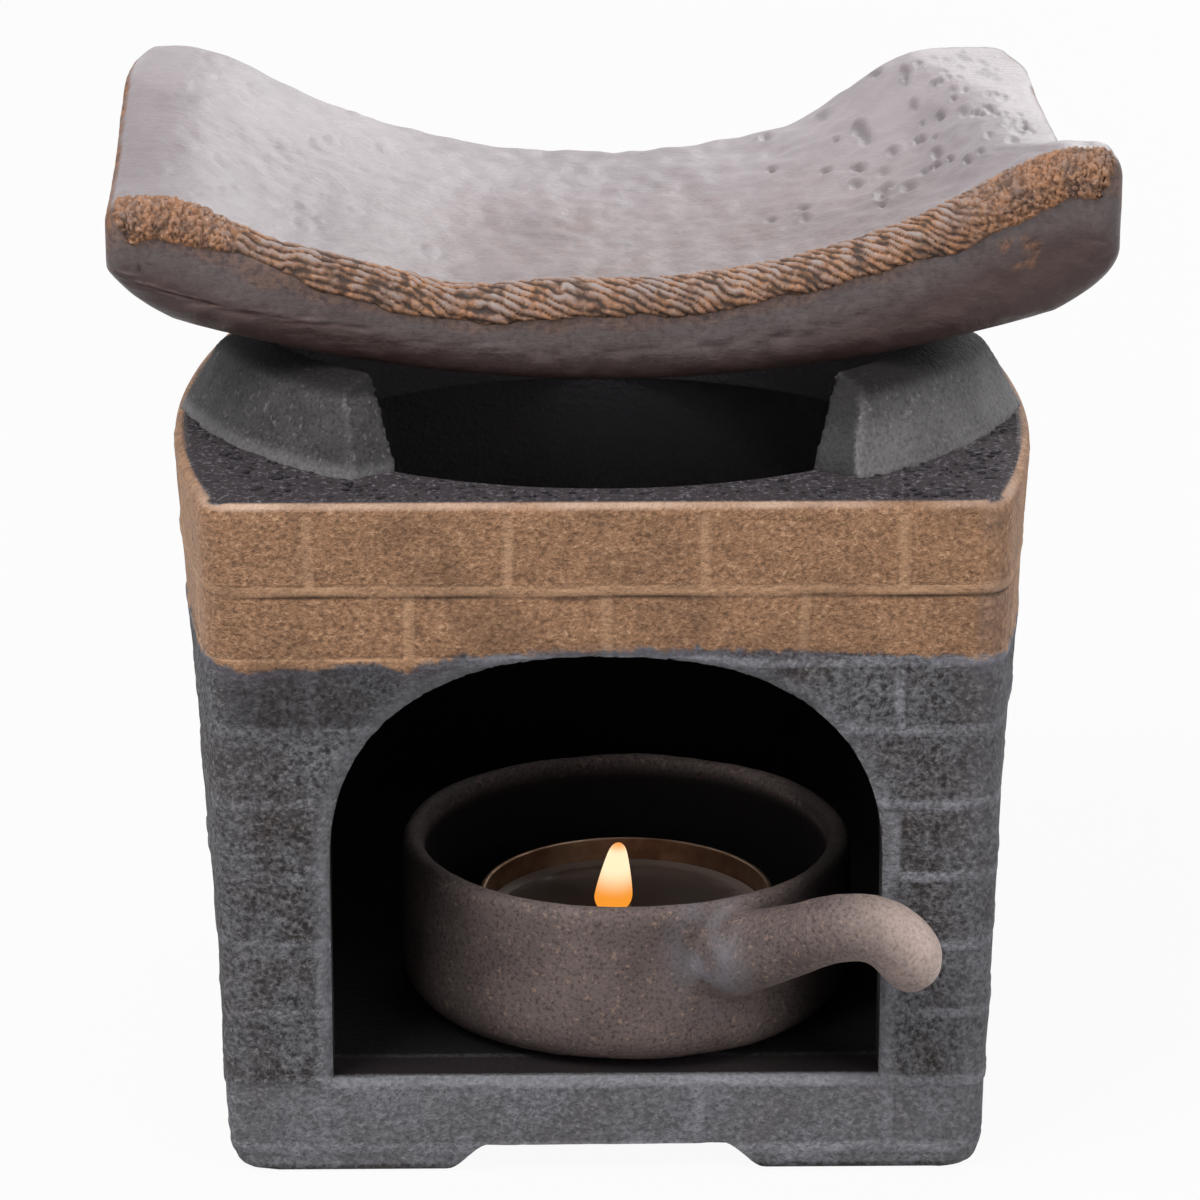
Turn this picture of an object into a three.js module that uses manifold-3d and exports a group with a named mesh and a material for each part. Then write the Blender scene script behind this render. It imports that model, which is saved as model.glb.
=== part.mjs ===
// A stoneware teapot warmer: a box stove with an arched door and four rest lugs on its deck,
// a curved tile dish lying on the lugs, and a handled candle cup with a tealight in the doorway.
// Millimetres, +Z up, the door faces -Y. The origin is the centre of the footprint's box, at the table.

import * as THREE from 'three';
import { mergeVertices } from 'three/addons/utils/BufferGeometryUtils.js';
import Module from 'manifold-3d';

// Driving dimensions of the stove
const DECK_HEIGHT = 87.5;
const STOVE_WIDTH_TOP = 96.4;      // between the front corners, at the deck
const STOVE_WIDTH_BOTTOM = 93.8;   // between the front corners, at the table
const STOVE_DEPTH = 111;
const STOVE_BACK_TAPER = 18.6;     // by how much the back is narrower than the front
const SIDE_BULGE_TOP = 10.2;       // how far each side swells in plan, at the deck
const SIDE_BULGE_BOTTOM = 4.5;
const FOOT_TUCK = 2;               // how far the sides draw in at the table
const FOOT_TUCK_HEIGHT = 6;
const STOVE_CORNER = 3.5;          // run of each rounded upright corner
const STOVE_EDGE = 1.4;            // rounding of the deck edge and of the foot edge
const STOVE_EDGE_KNEE = 0.4;       // middle of the deck edge's rounding, in from its upper corner
const WALL = 7;
const FLOOR_TOP = 12.5;
const ROOF_THICKNESS = 14;
const DECK_HOLE_RADIUS = 48.4;

// Driving dimensions of the door and the feet
const DOOR_WIDTH = 68;
const DOOR_SPRING_HEIGHT = 40;     // where the upright jambs turn into the arch
const DOOR_TOP = 68;
const DOOR_SQUARENESS = 2.4;       // 2 is a plain ellipse, more is squarer
const FOOT_HEIGHT = 3.8;
const FOOT_GAP = 30;               // width of the recess between two feet, at its top
const FOOT_SLOPE = 5;              // run of each sloped end of the recess

// Driving dimensions of the rest lugs
const LUG_HEIGHT = 11;
const LUG_FOOT_WIDTH = 6.9;        // at the deck, outwards from the edge of the hole
const LUG_LEAN_IN = 4.4;           // how far the outer face leans in from the foot to the top
const LUG_THICKNESS = 5;           // at the top
const LUG_TOP_DROP = 1.5;          // the top slopes down outwards
const LUG_TOP_ROUND = 0.8;         // rounding of the outer top edge
const LUG_FILLET = 1.4;            // clay smoothed out round the foot of the lug
const FRONT_LUG_START = 34;        // start of a front lug at the deck, in degrees from the front
const FRONT_LUG_END = 77;
const BACK_LUG_START = 26;         // start of a back lug at the deck, in degrees from the back
const BACK_LUG_END = 58;
const LUG_END_LEAN = 8;            // degrees by which each end face leans back at the top
const LUG_END_SPLAY = 3;           // degrees by which the inner edge of an end runs on past the outer one

// Driving dimensions of the tile dish
const DISH_WIDTH = 124.6;
const DISH_LENGTH = 69;
const DISH_THICKNESS = 12.5;       // at the middle
const DISH_RISE = 28.4;            // from the middle of the underside to the top of the wings
const DISH_UNDERSIDE_RADIUS = 180;
const DISH_HOLLOW_RADIUS = 95;
const DISH_TIP_ROUND = 8;          // size of the rounding at the foot of each end face
const DISH_LIP_WIDTH = 16.3;       // from the end face to the start of the hollow
const DISH_CROWN_ROUND = 5.8;      // rounding from the end face to the top of the wing
const DISH_CREST_LEAD = 0.2;       // share of the lip that runs on level from the crown
const DISH_BEND_LEAD = 0.46;       // share of the lip that runs on straight from the hollow
const DISH_EDGE = 2.2;             // rounding of the front and back edges
const DISH_TURN = 1.2;             // degrees, as it lies askew on the lugs
const DISH_OFFSET_X = 0.7;

// Driving dimensions of the dish's hand-bent form
const DISH_BACK_RISE = 1.2;        // the back edge stands this much higher than the front one
const DISH_RIM_DROOP = 2.6;        // fall of the front rim left of the middle
const DISH_WING_DROOP = 2.2;       // further fall of the left front wing
const DISH_END_SETBACK = 6;        // the right end stands back behind the ear at its front
const DISH_CORNER_SETBACK = 1.8;   // the right back corner stands back further
const DISH_EAR_LENGTH = 7.5;       // of the ear, from the front edge
const DISH_EAR_FADE = 8;           // over which the ear goes down to the set-back end
const DISH_WING_BUILD = 4.2;       // clay built up inside the right back wing
const DISH_WING_TOP = 27;          // height at which the right wing is flattened

// Where the bends of the dish start and end, in shares of half its width or half its length from
// the middle, or of its thickness from the underside
const DISH_TRUE_SPAN = [0.16, 0.88];
const DISH_RIM_DROOP_SPAN = [0.06, 0.35];
const DISH_WING_DROOP_SPAN = [0.45, 0.77];
const DISH_DROOP_FADE_SPAN = [-0.7, 0.64];
const DISH_BACK_RISE_SPAN = [-0.23, 0.87];
const DISH_CORNER_SPAN = [0.58, 1];
const DISH_BUILD_SPAN = [0.39, 0.69];
const DISH_BUILD_FADE_SPAN = [0.17, 0.9];
const DISH_SETBACK_START = 0.64;

// Driving dimensions of the candle cup and its handle
const CUP_RADIUS = 28.9;
const CUP_HEIGHT = 21.6;
const CUP_WALL = 3;
const CUP_FLOOR = 3.2;
const CUP_FOOT_ROUND = 5;
const CUP_RIM_ROUND = 1.1;
const CUP_OFFSET_X = 3;            // the cup stands a little right of the middle
const CUP_TO_FRONT = 1.4;          // from the cup's wall to the plane of the stove's front
const HANDLE_ROOT_RADIUS = 5.6;
const HANDLE_WAIST_RADIUS = 4.2;
const HANDLE_TIP_RADIUS = 4.2;
const HANDLE_ROOT_ANGLE = 27;      // degrees from the front, round the cup
const HANDLE_REACH = 9.2;          // how far the hook's middle stands in front of the cup's wall
const HANDLE_SIDE_REACH = 34.6;    // from the cup's middle to the hook's outer end
const HANDLE_ARCH = 8.4;           // how far the bend rises above the root
const HANDLE_ROOT_HEIGHT = 14.4;   // middle of the root above the cup's foot
const HANDLE_HOOK_DROP = 8;        // from the bend down to the tip
const HANDLE_TAPER_END = 0.45;     // share of the length where the root's taper ends
const HANDLE_TIP_START = 0.86;     // share of the length where the tip starts to round off
const HANDLE_TIP_FLAT = 0.2;       // share of the radius that is left at the very tip

// The handle's route from its shoulder to the tip, in shares of its side reach, its front reach,
// its rise to the bend and its drop from the bend.
const HANDLE_ROUTE = [
  { side: 0, front: 0, rise: 0.2, drop: 0 },
  { side: 0.28, front: 0.5, rise: 0.62, drop: 0 },
  { side: 0.52, front: 0.85, rise: 0.95, drop: 0 },
  { side: 0.76, front: 1, rise: 1, drop: 0 },
  { side: 0.94, front: 1, rise: 1, drop: 0.38 },
  { side: 1, front: 1, rise: 1, drop: 1 },
];
const HANDLE_SHOULDER = 0.35;      // share of the front reach where the shoulder stands off the wall
const HANDLE_ROOT_SINK = 1.3;      // the root's middle lies this much lower inside the wall

// Driving dimensions of the tealight
const TEALIGHT_RADIUS = 19;
const TEALIGHT_HEIGHT = 10.6;
const TEALIGHT_WALL = 0.5;
const TEALIGHT_BEAD = 0.5;         // rolled rim, beyond the wall
const TEALIGHT_OFFSET_Y = -2.6;    // it stands a little forward in the cup
const WAX_DEPTH = 6.2;
const WAX_HOLE_RADIUS = 1.1;
const SUSTAINER_RADIUS = 6;
const SUSTAINER_THICKNESS = 0.5;
const WICK_RADIUS = 0.6;
const WICK_STAND = 4.6;            // above the wax

// Clearances
const SEAT_GAP = 0.3;              // under each piece that stands on another
const SIDE_GAP = 0.3;              // round each piece that sits inside another

// Mesh fineness
const ROUND_STEPS = 48;
const SIDE_STEPS = 22;
const CORNER_STEPS = 4;
const ARCH_STEPS = 28;
const LUG_STEPS = 8;
const HANDLE_STEPS = 22;
const HANDLE_SIDES = 14;
const DISH_STEPS = 9;
const DISH_ROWS = 12;
const EDGE_STEPS = 3;

// Heights and radii that follow from the dimensions
const halfDepth = STOVE_DEPTH / 2;
const roofUnderside = DECK_HEIGHT - ROOF_THICKNESS;
const lugBase = DECK_HEIGHT + SEAT_GAP;
const lugInnerRadius = DECK_HOLE_RADIUS + SIDE_GAP;
const lugOuterRadius = lugInnerRadius + LUG_FOOT_WIDTH;
const lugTopRadius = lugOuterRadius - LUG_LEAN_IN;
const cupBase = FLOOR_TOP + SEAT_GAP;
const cupCentreY = -halfDepth + CUP_TO_FRONT + CUP_RADIUS;
const tealightBase = cupBase + CUP_FLOOR + SEAT_GAP;
const sustainerBase = tealightBase + TEALIGHT_WALL + SEAT_GAP;
const waxBase = sustainerBase + SUSTAINER_THICKNESS + SEAT_GAP;

const wasm = await Module();
wasm.setup();

// Booleans

function toSolid(geometry) {
  const bare = geometry.clone();
  bare.deleteAttribute('normal');
  bare.deleteAttribute('uv');
  const merged = mergeVertices(bare, 1e-4);
  const vertProperties = new Float32Array(merged.attributes.position.array);
  const triVerts = new Uint32Array(merged.index.array);
  return new wasm.Manifold(new wasm.Mesh({ numProp: 3, vertProperties, triVerts }));
}

function toGeometry(solid) {
  const mesh = solid.getMesh();
  const geometry = new THREE.BufferGeometry();
  geometry.setAttribute('position', new THREE.BufferAttribute(new Float32Array(mesh.vertProperties), 3));
  geometry.setIndex(new THREE.BufferAttribute(new Uint32Array(mesh.triVerts), 1));
  geometry.computeVertexNormals();
  return geometry;
}

function cut(geometry, ...tools) {
  const solid = tools.reduce((left, tool) => left.subtract(toSolid(tool)), toSolid(geometry));
  return toGeometry(solid);
}

// Shapes

// Skins a stack of rings, each a closed loop of as many points, and caps both ends with a fan.
function loft(rings) {
  const count = rings[0].length;
  const points = rings.flat();
  const index = [];
  for (let level = 0; level < rings.length - 1; level += 1) {
    for (let side = 0; side < count; side += 1) {
      const next = (side + 1) % count;
      const a = level * count + side;
      const b = level * count + next;
      index.push(a, b, b + count, a, b + count, a + count);
    }
  }
  const middle = (ring) => ring.reduce((sum, p) => sum.add(p), new THREE.Vector3()).divideScalar(count);
  const lowPole = points.push(middle(rings[0])) - 1;
  const highPole = points.push(middle(rings[rings.length - 1])) - 1;
  const lastRing = (rings.length - 1) * count;
  for (let side = 0; side < count; side += 1) {
    const next = (side + 1) % count;
    index.push(lowPole, next, side);
    index.push(highPole, lastRing + side, lastRing + next);
  }
  const geometry = new THREE.BufferGeometry().setFromPoints(points);
  geometry.setIndex(index);
  geometry.computeVertexNormals();
  return geometry;
}

// A profile of [radius, height] pairs turned about Z, from the axis round to the axis.
function turned(profile, steps = ROUND_STEPS) {
  const points = profile.map(([radius, height]) => new THREE.Vector2(radius, height));
  const geometry = new THREE.LatheGeometry(points, steps);
  geometry.rotateX(Math.PI / 2);
  return geometry;
}

function cylinder(radius, low, high, steps = ROUND_STEPS) {
  const geometry = new THREE.CylinderGeometry(radius, radius, high - low, steps);
  geometry.rotateX(Math.PI / 2);
  geometry.translate(0, 0, (low + high) / 2);
  return geometry;
}

// Extrudes a shape that is drawn in X and Z along Y, from front to back.
function alongY(shape, front, back, options = {}) {
  const settings = { depth: back - front, bevelEnabled: false, curveSegments: ARCH_STEPS, ...options };
  const geometry = new THREE.ExtrudeGeometry(shape, settings);
  geometry.rotateX(Math.PI / 2);
  geometry.translate(0, back, 0);
  return geometry;
}

// The same shape on the other side of the middle, with its faces turned outwards again.
function mirrored(geometry) {
  const copy = geometry.clone().applyMatrix4(new THREE.Matrix4().makeScale(-1, 1, 1));
  copy.setIndex([...copy.index.array].reverse());
  copy.computeVertexNormals();
  return copy;
}

// Stove

// The stove's plan at a height: flat front and back, rounded upright corners, and sides that swell
// and draw in towards the back and at the table.
function stovePlan(height, inset) {
  const { lerp } = THREE.MathUtils;
  const share = height / DECK_HEIGHT;
  const low = Math.max(1 - height / FOOT_TUCK_HEIGHT, 0);
  const tuck = FOOT_TUCK * (1 - Math.sqrt(1 - low ** 2));
  const frontHalf = lerp(STOVE_WIDTH_BOTTOM, STOVE_WIDTH_TOP, share) / 2 - tuck - inset;
  const backHalf = frontHalf - STOVE_BACK_TAPER / 2;
  const bulge = lerp(SIDE_BULGE_BOTTOM, SIDE_BULGE_TOP, share);
  const reach = halfDepth - inset;
  const straight = reach - STOVE_CORNER;
  const sideX = (y) => lerp(frontHalf, backHalf, (y / reach + 1) / 2) + bulge * (1 - (y / reach) ** 2);
  const side = [];
  for (let step = 0; step <= SIDE_STEPS; step += 1) {
    const y = lerp(-straight, straight, step / SIDE_STEPS);
    side.push(new THREE.Vector2(sideX(y), y));
  }
  const cornerTo = (half, end, first) => new THREE.QuadraticBezierCurve(
    new THREE.Vector2(half - STOVE_CORNER, end),
    new THREE.Vector2(half, end),
    first,
  ).getPoints(CORNER_STEPS).slice(0, -1);
  const front = cornerTo(frontHalf, -reach, side[0]);
  const back = cornerTo(backHalf, reach, side[SIDE_STEPS]).reverse();
  const right = [...front, ...side, ...back];
  const left = right.map((p) => new THREE.Vector2(-p.x, p.y)).reverse();
  return [...right, ...left].map((p) => new THREE.Vector3(p.x, p.y, height));
}

function archShape() {
  const half = DOOR_WIDTH / 2;
  const rise = DOOR_TOP - DOOR_SPRING_HEIGHT;
  const shape = new THREE.Shape();
  shape.moveTo(-half, FLOOR_TOP);
  shape.lineTo(half, FLOOR_TOP);
  for (let step = 0; step <= ARCH_STEPS; step += 1) {
    const angle = (Math.PI * step) / ARCH_STEPS;
    const across = Math.sign(Math.cos(angle)) * Math.abs(Math.cos(angle)) ** (2 / DOOR_SQUARENESS);
    const up = Math.sin(angle) ** (2 / DOOR_SQUARENESS);
    shape.lineTo(half * across, DOOR_SPRING_HEIGHT + rise * up);
  }
  return shape;
}

// The recess between two feet, drawn below the table too so that it cuts the foot edge cleanly.
function footRecess() {
  const half = FOOT_GAP / 2;
  const slope = FOOT_SLOPE / FOOT_HEIGHT;
  const below = FOOT_HEIGHT;
  const shape = new THREE.Shape();
  shape.moveTo(-half - FOOT_SLOPE - slope * below, -below);
  shape.lineTo(half + FOOT_SLOPE + slope * below, -below);
  shape.lineTo(half, FOOT_HEIGHT);
  shape.lineTo(-half, FOOT_HEIGHT);
  return shape;
}

function stoveBody() {
  const outside = loft([
    stovePlan(0, STOVE_EDGE),
    stovePlan(STOVE_EDGE, 0),
    stovePlan(FOOT_TUCK_HEIGHT / 2, 0),
    stovePlan(FOOT_TUCK_HEIGHT, 0),
    stovePlan(DECK_HEIGHT - STOVE_EDGE, 0),
    stovePlan(DECK_HEIGHT - STOVE_EDGE_KNEE, STOVE_EDGE_KNEE),
    stovePlan(DECK_HEIGHT, STOVE_EDGE),
  ]);
  const chamber = loft([stovePlan(FLOOR_TOP, WALL), stovePlan(roofUnderside, WALL)]);
  const hole = cylinder(DECK_HOLE_RADIUS, roofUnderside - WALL, DECK_HEIGHT + WALL);
  const door = alongY(archShape(), -halfDepth - WALL, -halfDepth + WALL * 2);
  const frontRecess = alongY(footRecess(), -halfDepth - WALL, halfDepth + WALL);
  const sideReach = STOVE_WIDTH_TOP / 2 + SIDE_BULGE_TOP + WALL;
  const sideRecess = alongY(footRecess(), -sideReach, sideReach);
  sideRecess.rotateZ(Math.PI / 2);
  return cut(outside, chamber, hole, door, frontRecess, sideRecess);
}

// One lug, in the quarter between the front (-Y) and the right (+X). Its section is swept round Z
// and its end faces lean back, so a point's angle depends on its height.
function restLug(start, end) {
  const outerTop = LUG_HEIGHT - LUG_TOP_DROP;
  const filletRadius = THREE.MathUtils.lerp(lugOuterRadius, lugTopRadius, LUG_FILLET / outerTop);
  const section = [
    [lugInnerRadius, 0],
    [lugOuterRadius, 0],
    [filletRadius - LUG_FILLET / 2, LUG_FILLET],
    [lugTopRadius, outerTop - LUG_TOP_ROUND],
    [lugTopRadius - LUG_TOP_ROUND, outerTop],
    [lugTopRadius - LUG_THICKNESS, LUG_HEIGHT],
  ];
  const rings = [];
  for (let step = 0; step <= LUG_STEPS; step += 1) {
    rings.push(section.map(([radius, height]) => {
      const splay = (LUG_END_SPLAY * (lugOuterRadius - radius)) / LUG_FOOT_WIDTH;
      const setBack = (LUG_END_LEAN * height) / LUG_HEIGHT - splay;
      const from = start + setBack;
      const to = end - setBack;
      const angle = THREE.MathUtils.degToRad(THREE.MathUtils.lerp(from, to, step / LUG_STEPS));
      return new THREE.Vector3(radius * Math.sin(angle), -radius * Math.cos(angle), height);
    }).reverse());
  }
  return loft(rings);
}

// Tile dish

function sagOf(radius, x) {
  return radius - Math.sqrt(radius ** 2 - x ** 2);
}

// The dish's section in X and Z, with the middle of its underside at the origin.
function dishShape() {
  const half = DISH_WIDTH / 2;
  const keelX = half - DISH_TIP_ROUND;
  const keelZ = sagOf(DISH_UNDERSIDE_RADIUS, keelX);
  const hollowX = half - DISH_LIP_WIDTH;
  const hollowZ = DISH_THICKNESS + sagOf(DISH_HOLLOW_RADIUS, hollowX);
  const hollowSlope = hollowX / Math.sqrt(DISH_HOLLOW_RADIUS ** 2 - hollowX ** 2);
  const crownX = half - DISH_CROWN_ROUND;
  const lipRun = crownX - hollowX;
  const crestX = crownX - lipRun * DISH_CREST_LEAD;
  const bendX = hollowX + lipRun * DISH_BEND_LEAD;
  const bendZ = hollowZ + hollowSlope * (bendX - hollowX);
  const keelAngle = Math.asin(keelX / DISH_UNDERSIDE_RADIUS);
  const hollowAngle = Math.asin(hollowX / DISH_HOLLOW_RADIUS);
  const down = -Math.PI / 2;
  const shape = new THREE.Shape();
  shape.moveTo(-keelX, keelZ);
  shape.absarc(0, DISH_UNDERSIDE_RADIUS, DISH_UNDERSIDE_RADIUS, down - keelAngle, down + keelAngle, false);
  shape.quadraticCurveTo(half, keelZ + DISH_TIP_ROUND / 2, half, keelZ + DISH_TIP_ROUND);
  shape.lineTo(half, DISH_RISE - DISH_CROWN_ROUND);
  shape.quadraticCurveTo(half, DISH_RISE, crownX, DISH_RISE);
  shape.bezierCurveTo(crestX, DISH_RISE, bendX, bendZ, hollowX, hollowZ);
  const hollowCentre = DISH_THICKNESS + DISH_HOLLOW_RADIUS;
  shape.absarc(0, hollowCentre, DISH_HOLLOW_RADIUS, down + hollowAngle, down - hollowAngle, true);
  shape.bezierCurveTo(-bendX, bendZ, -crestX, DISH_RISE, -crownX, DISH_RISE);
  shape.quadraticCurveTo(-half, DISH_RISE, -half, DISH_RISE - DISH_CROWN_ROUND);
  shape.lineTo(-half, keelZ + DISH_TIP_ROUND);
  shape.quadraticCurveTo(-half, keelZ + DISH_TIP_ROUND / 2, -keelX, keelZ);
  return shape;
}

// The dish was bent by hand: its left front wing droops, its right end stands back behind a front
// ear, and its right wing is built up and flattened. Its underside stays true.
function bendDish(geometry) {
  const { smoothstep, lerp } = THREE.MathUtils;
  const halfWidth = DISH_WIDTH / 2;
  const halfLength = DISH_LENGTH / 2;
  const earEnd = DISH_EAR_LENGTH - halfLength;
  const points = geometry.attributes.position;
  for (let i = 0; i < points.count; i += 1) {
    const x = points.getX(i);
    const y = points.getY(i);
    const z = points.getZ(i);
    const side = Math.min(Math.abs(x) / halfWidth, 1);
    const along = y / halfLength;
    const rise = z - sagOf(DISH_UNDERSIDE_RADIUS, side * halfWidth);
    const free = smoothstep(rise / DISH_THICKNESS, ...DISH_TRUE_SPAN);
    let height = z + free * DISH_BACK_RISE * smoothstep(along, ...DISH_BACK_RISE_SPAN);
    let reach = x;
    if (x < 0) {
      const rim = DISH_RIM_DROOP * smoothstep(side, ...DISH_RIM_DROOP_SPAN);
      const wing = DISH_WING_DROOP * smoothstep(side, ...DISH_WING_DROOP_SPAN);
      height -= free * (rim + wing) * (1 - smoothstep(along, ...DISH_DROOP_FADE_SPAN));
    } else {
      const behindEar = smoothstep(y, earEnd, earEnd + DISH_EAR_FADE);
      const corner = smoothstep(along, ...DISH_CORNER_SPAN);
      const outer = Math.max(side - DISH_SETBACK_START, 0) / (1 - DISH_SETBACK_START);
      reach -= outer * (DISH_END_SETBACK * behindEar + DISH_CORNER_SETBACK * corner);
      const build = smoothstep(along, ...DISH_BUILD_FADE_SPAN) * smoothstep(side, ...DISH_BUILD_SPAN);
      const built = height + free * DISH_WING_BUILD * build;
      height = lerp(height, Math.min(built, DISH_WING_TOP), behindEar);
    }
    points.setXYZ(i, reach, y, height);
  }
  geometry.computeVertexNormals();
  return geometry;
}

function tileDish() {
  const half = DISH_LENGTH / 2 - DISH_EDGE;
  const bevel = {
    bevelEnabled: true,
    bevelThickness: DISH_EDGE,
    bevelSize: DISH_EDGE,
    bevelOffset: -DISH_EDGE,
    bevelSegments: EDGE_STEPS,
  };
  const straight = { ...bevel, curveSegments: DISH_STEPS, steps: DISH_ROWS };
  return bendDish(alongY(dishShape(), -half, half, straight));
}

// The dish touches the inner top edges of the lugs, at the point nearest its middle that lies
// under its flat underside. The underside has risen a little there.
function dishRestHeight() {
  const { degToRad } = THREE.MathUtils;
  const edgeRadius = lugTopRadius - LUG_THICKNESS;
  const splay = (LUG_END_SPLAY * (lugOuterRadius - edgeRadius)) / LUG_FOOT_WIDTH;
  const firstLug = Math.min(FRONT_LUG_START, BACK_LUG_START);
  const lugStart = degToRad(firstLug + LUG_END_LEAN - splay - DISH_TURN);
  const flatReach = DISH_LENGTH / 2 - DISH_EDGE;
  const dishStart = Math.acos(Math.min(flatReach / edgeRadius, 1));
  const touchX = edgeRadius * Math.sin(Math.max(lugStart, dishStart)) - Math.abs(DISH_OFFSET_X);
  return lugBase + LUG_HEIGHT + SEAT_GAP - sagOf(DISH_UNDERSIDE_RADIUS, touchX);
}

// Candle cup

// The cup's outer profile from the axis to the rim, grown by a clearance.
function cupOutside(grow) {
  const radius = CUP_RADIUS + grow;
  const profile = [[0, -grow]];
  for (let step = 0; step <= CORNER_STEPS; step += 1) {
    const angle = (Math.PI / 2) * (step / CORNER_STEPS);
    const out = radius - CUP_FOOT_ROUND * (1 - Math.sin(angle));
    profile.push([out, -grow + CUP_FOOT_ROUND * (1 - Math.cos(angle))]);
  }
  return profile;
}

function candleCup() {
  const inner = CUP_RADIUS - CUP_WALL;
  const innerRound = CUP_FOOT_ROUND - CUP_WALL / 2;
  const profile = cupOutside(0);
  profile.push([CUP_RADIUS, CUP_HEIGHT - CUP_RIM_ROUND]);
  profile.push([CUP_RADIUS - CUP_RIM_ROUND, CUP_HEIGHT]);
  profile.push([inner + CUP_RIM_ROUND / 2, CUP_HEIGHT]);
  profile.push([inner, CUP_HEIGHT - CUP_RIM_ROUND]);
  for (let step = 0; step <= CORNER_STEPS; step += 1) {
    const angle = (Math.PI / 2) * (step / CORNER_STEPS);
    const out = inner - innerRound * (1 - Math.cos(angle));
    profile.push([out, CUP_FLOOR + innerRound * (1 - Math.sin(angle))]);
  }
  profile.push([0, CUP_FLOOR]);
  return turned(profile);
}

// The handle leaves the cup's wall, rises in a bend and hooks down beside the door jamb.
function handlePath() {
  const { lerp, degToRad } = THREE.MathUtils;
  const turn = degToRad(HANDLE_ROOT_ANGLE);
  const outward = new THREE.Vector3(Math.sin(turn), -Math.cos(turn), 0);
  const root = outward.clone().multiplyScalar(CUP_RADIUS - CUP_WALL);
  root.z = HANDLE_ROOT_HEIGHT - HANDLE_ROOT_SINK;
  const shoulder = outward.clone().multiplyScalar(CUP_RADIUS + HANDLE_REACH * HANDLE_SHOULDER);
  const hookY = -CUP_RADIUS - HANDLE_REACH;
  const route = HANDLE_ROUTE.map(({ side, front, rise, drop }) => new THREE.Vector3(
    lerp(shoulder.x, HANDLE_SIDE_REACH, side),
    lerp(shoulder.y, hookY, front),
    HANDLE_ROOT_HEIGHT + HANDLE_ARCH * rise - HANDLE_HOOK_DROP * drop,
  ));
  return new THREE.CatmullRomCurve3([root, ...route], false, 'centripetal');
}

// The handle's radius along its path: thick at the root, slim at the waist, rounded off at the tip.
function handleRadius(share) {
  const { lerp } = THREE.MathUtils;
  const taper = Math.min(share / HANDLE_TAPER_END, 1);
  const slim = Math.max(share - HANDLE_TAPER_END, 0) / (1 - HANDLE_TAPER_END);
  const shaft = lerp(lerp(HANDLE_ROOT_RADIUS, HANDLE_WAIST_RADIUS, taper), HANDLE_TIP_RADIUS, slim);
  const tip = Math.max(share - HANDLE_TIP_START, 0) / (1 - HANDLE_TIP_START);
  return shaft * Math.max(Math.sqrt(1 - tip ** 2), HANDLE_TIP_FLAT);
}

function cupHandle() {
  const path = handlePath();
  const frames = path.computeFrenetFrames(HANDLE_STEPS, false);
  const rings = [];
  for (let step = 0; step <= HANDLE_STEPS; step += 1) {
    const share = step / HANDLE_STEPS;
    const centre = path.getPointAt(share);
    const radius = handleRadius(share);
    const ring = [];
    for (let side = 0; side < HANDLE_SIDES; side += 1) {
      const angle = (2 * Math.PI * side) / HANDLE_SIDES;
      const point = centre.clone();
      point.addScaledVector(frames.normals[step], radius * Math.cos(angle));
      point.addScaledVector(frames.binormals[step], radius * Math.sin(angle));
      ring.push(point);
    }
    rings.push(ring);
  }
  const cupSpace = cupOutside(SIDE_GAP);
  cupSpace.push([CUP_RADIUS + SIDE_GAP, CUP_HEIGHT * 2], [0, CUP_HEIGHT * 2]);
  return cut(loft(rings), turned(cupSpace));
}

// Tealight

function tealightCup() {
  const inner = TEALIGHT_RADIUS - TEALIGHT_BEAD - TEALIGHT_WALL;
  const wallOuter = TEALIGHT_RADIUS - TEALIGHT_BEAD;
  const beadLow = TEALIGHT_HEIGHT - 2 * TEALIGHT_BEAD;
  return turned([
    [0, 0],
    [wallOuter - TEALIGHT_WALL, 0],
    [wallOuter, TEALIGHT_WALL],
    [wallOuter, beadLow - TEALIGHT_BEAD],
    [TEALIGHT_RADIUS, beadLow],
    [TEALIGHT_RADIUS, TEALIGHT_HEIGHT - TEALIGHT_BEAD],
    [wallOuter, TEALIGHT_HEIGHT],
    [inner, TEALIGHT_HEIGHT - TEALIGHT_BEAD],
    [inner, TEALIGHT_WALL],
    [0, TEALIGHT_WALL],
  ]);
}

function tealightWax() {
  const outer = TEALIGHT_RADIUS - TEALIGHT_BEAD - TEALIGHT_WALL - SIDE_GAP;
  return turned([
    [WAX_HOLE_RADIUS, 0],
    [outer, 0],
    [outer, WAX_DEPTH],
    [WAX_HOLE_RADIUS, WAX_DEPTH],
    [WAX_HOLE_RADIUS, 0],
  ]);
}

function wickSustainer() {
  return turned([
    [0, 0],
    [SUSTAINER_RADIUS, 0],
    [SUSTAINER_RADIUS, SUSTAINER_THICKNESS],
    [0, SUSTAINER_THICKNESS],
  ], ROUND_STEPS / 2);
}

function wick() {
  return cylinder(WICK_RADIUS, 0, WAX_DEPTH + WICK_STAND, ROUND_STEPS / 4);
}

// Assembly

function finish(color, roughness, metalness = 0) {
  return new THREE.MeshStandardMaterial({ color, roughness, metalness });
}

const charcoalStoneware = finish('#505052', 0.85);
const greyStoneware = finish('#5b5d5a', 0.8);
const purpleStoneware = finish('#73645f', 0.6);
const brownStoneware = finish('#564c48', 0.75);
const aluminium = finish('#b9bcc0', 0.35, 1);
const wax = finish('#d9cdb4', 0.5);
const tinplate = finish('#8f9093', 0.4, 1);
const cotton = finish('#3a332c', 0.95);

function addPiece(group, name, geometry, material, height = 0) {
  const mesh = new THREE.Mesh(geometry, material);
  mesh.name = name;
  mesh.position.z = height;
  group.add(mesh);
  return mesh;
}

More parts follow.
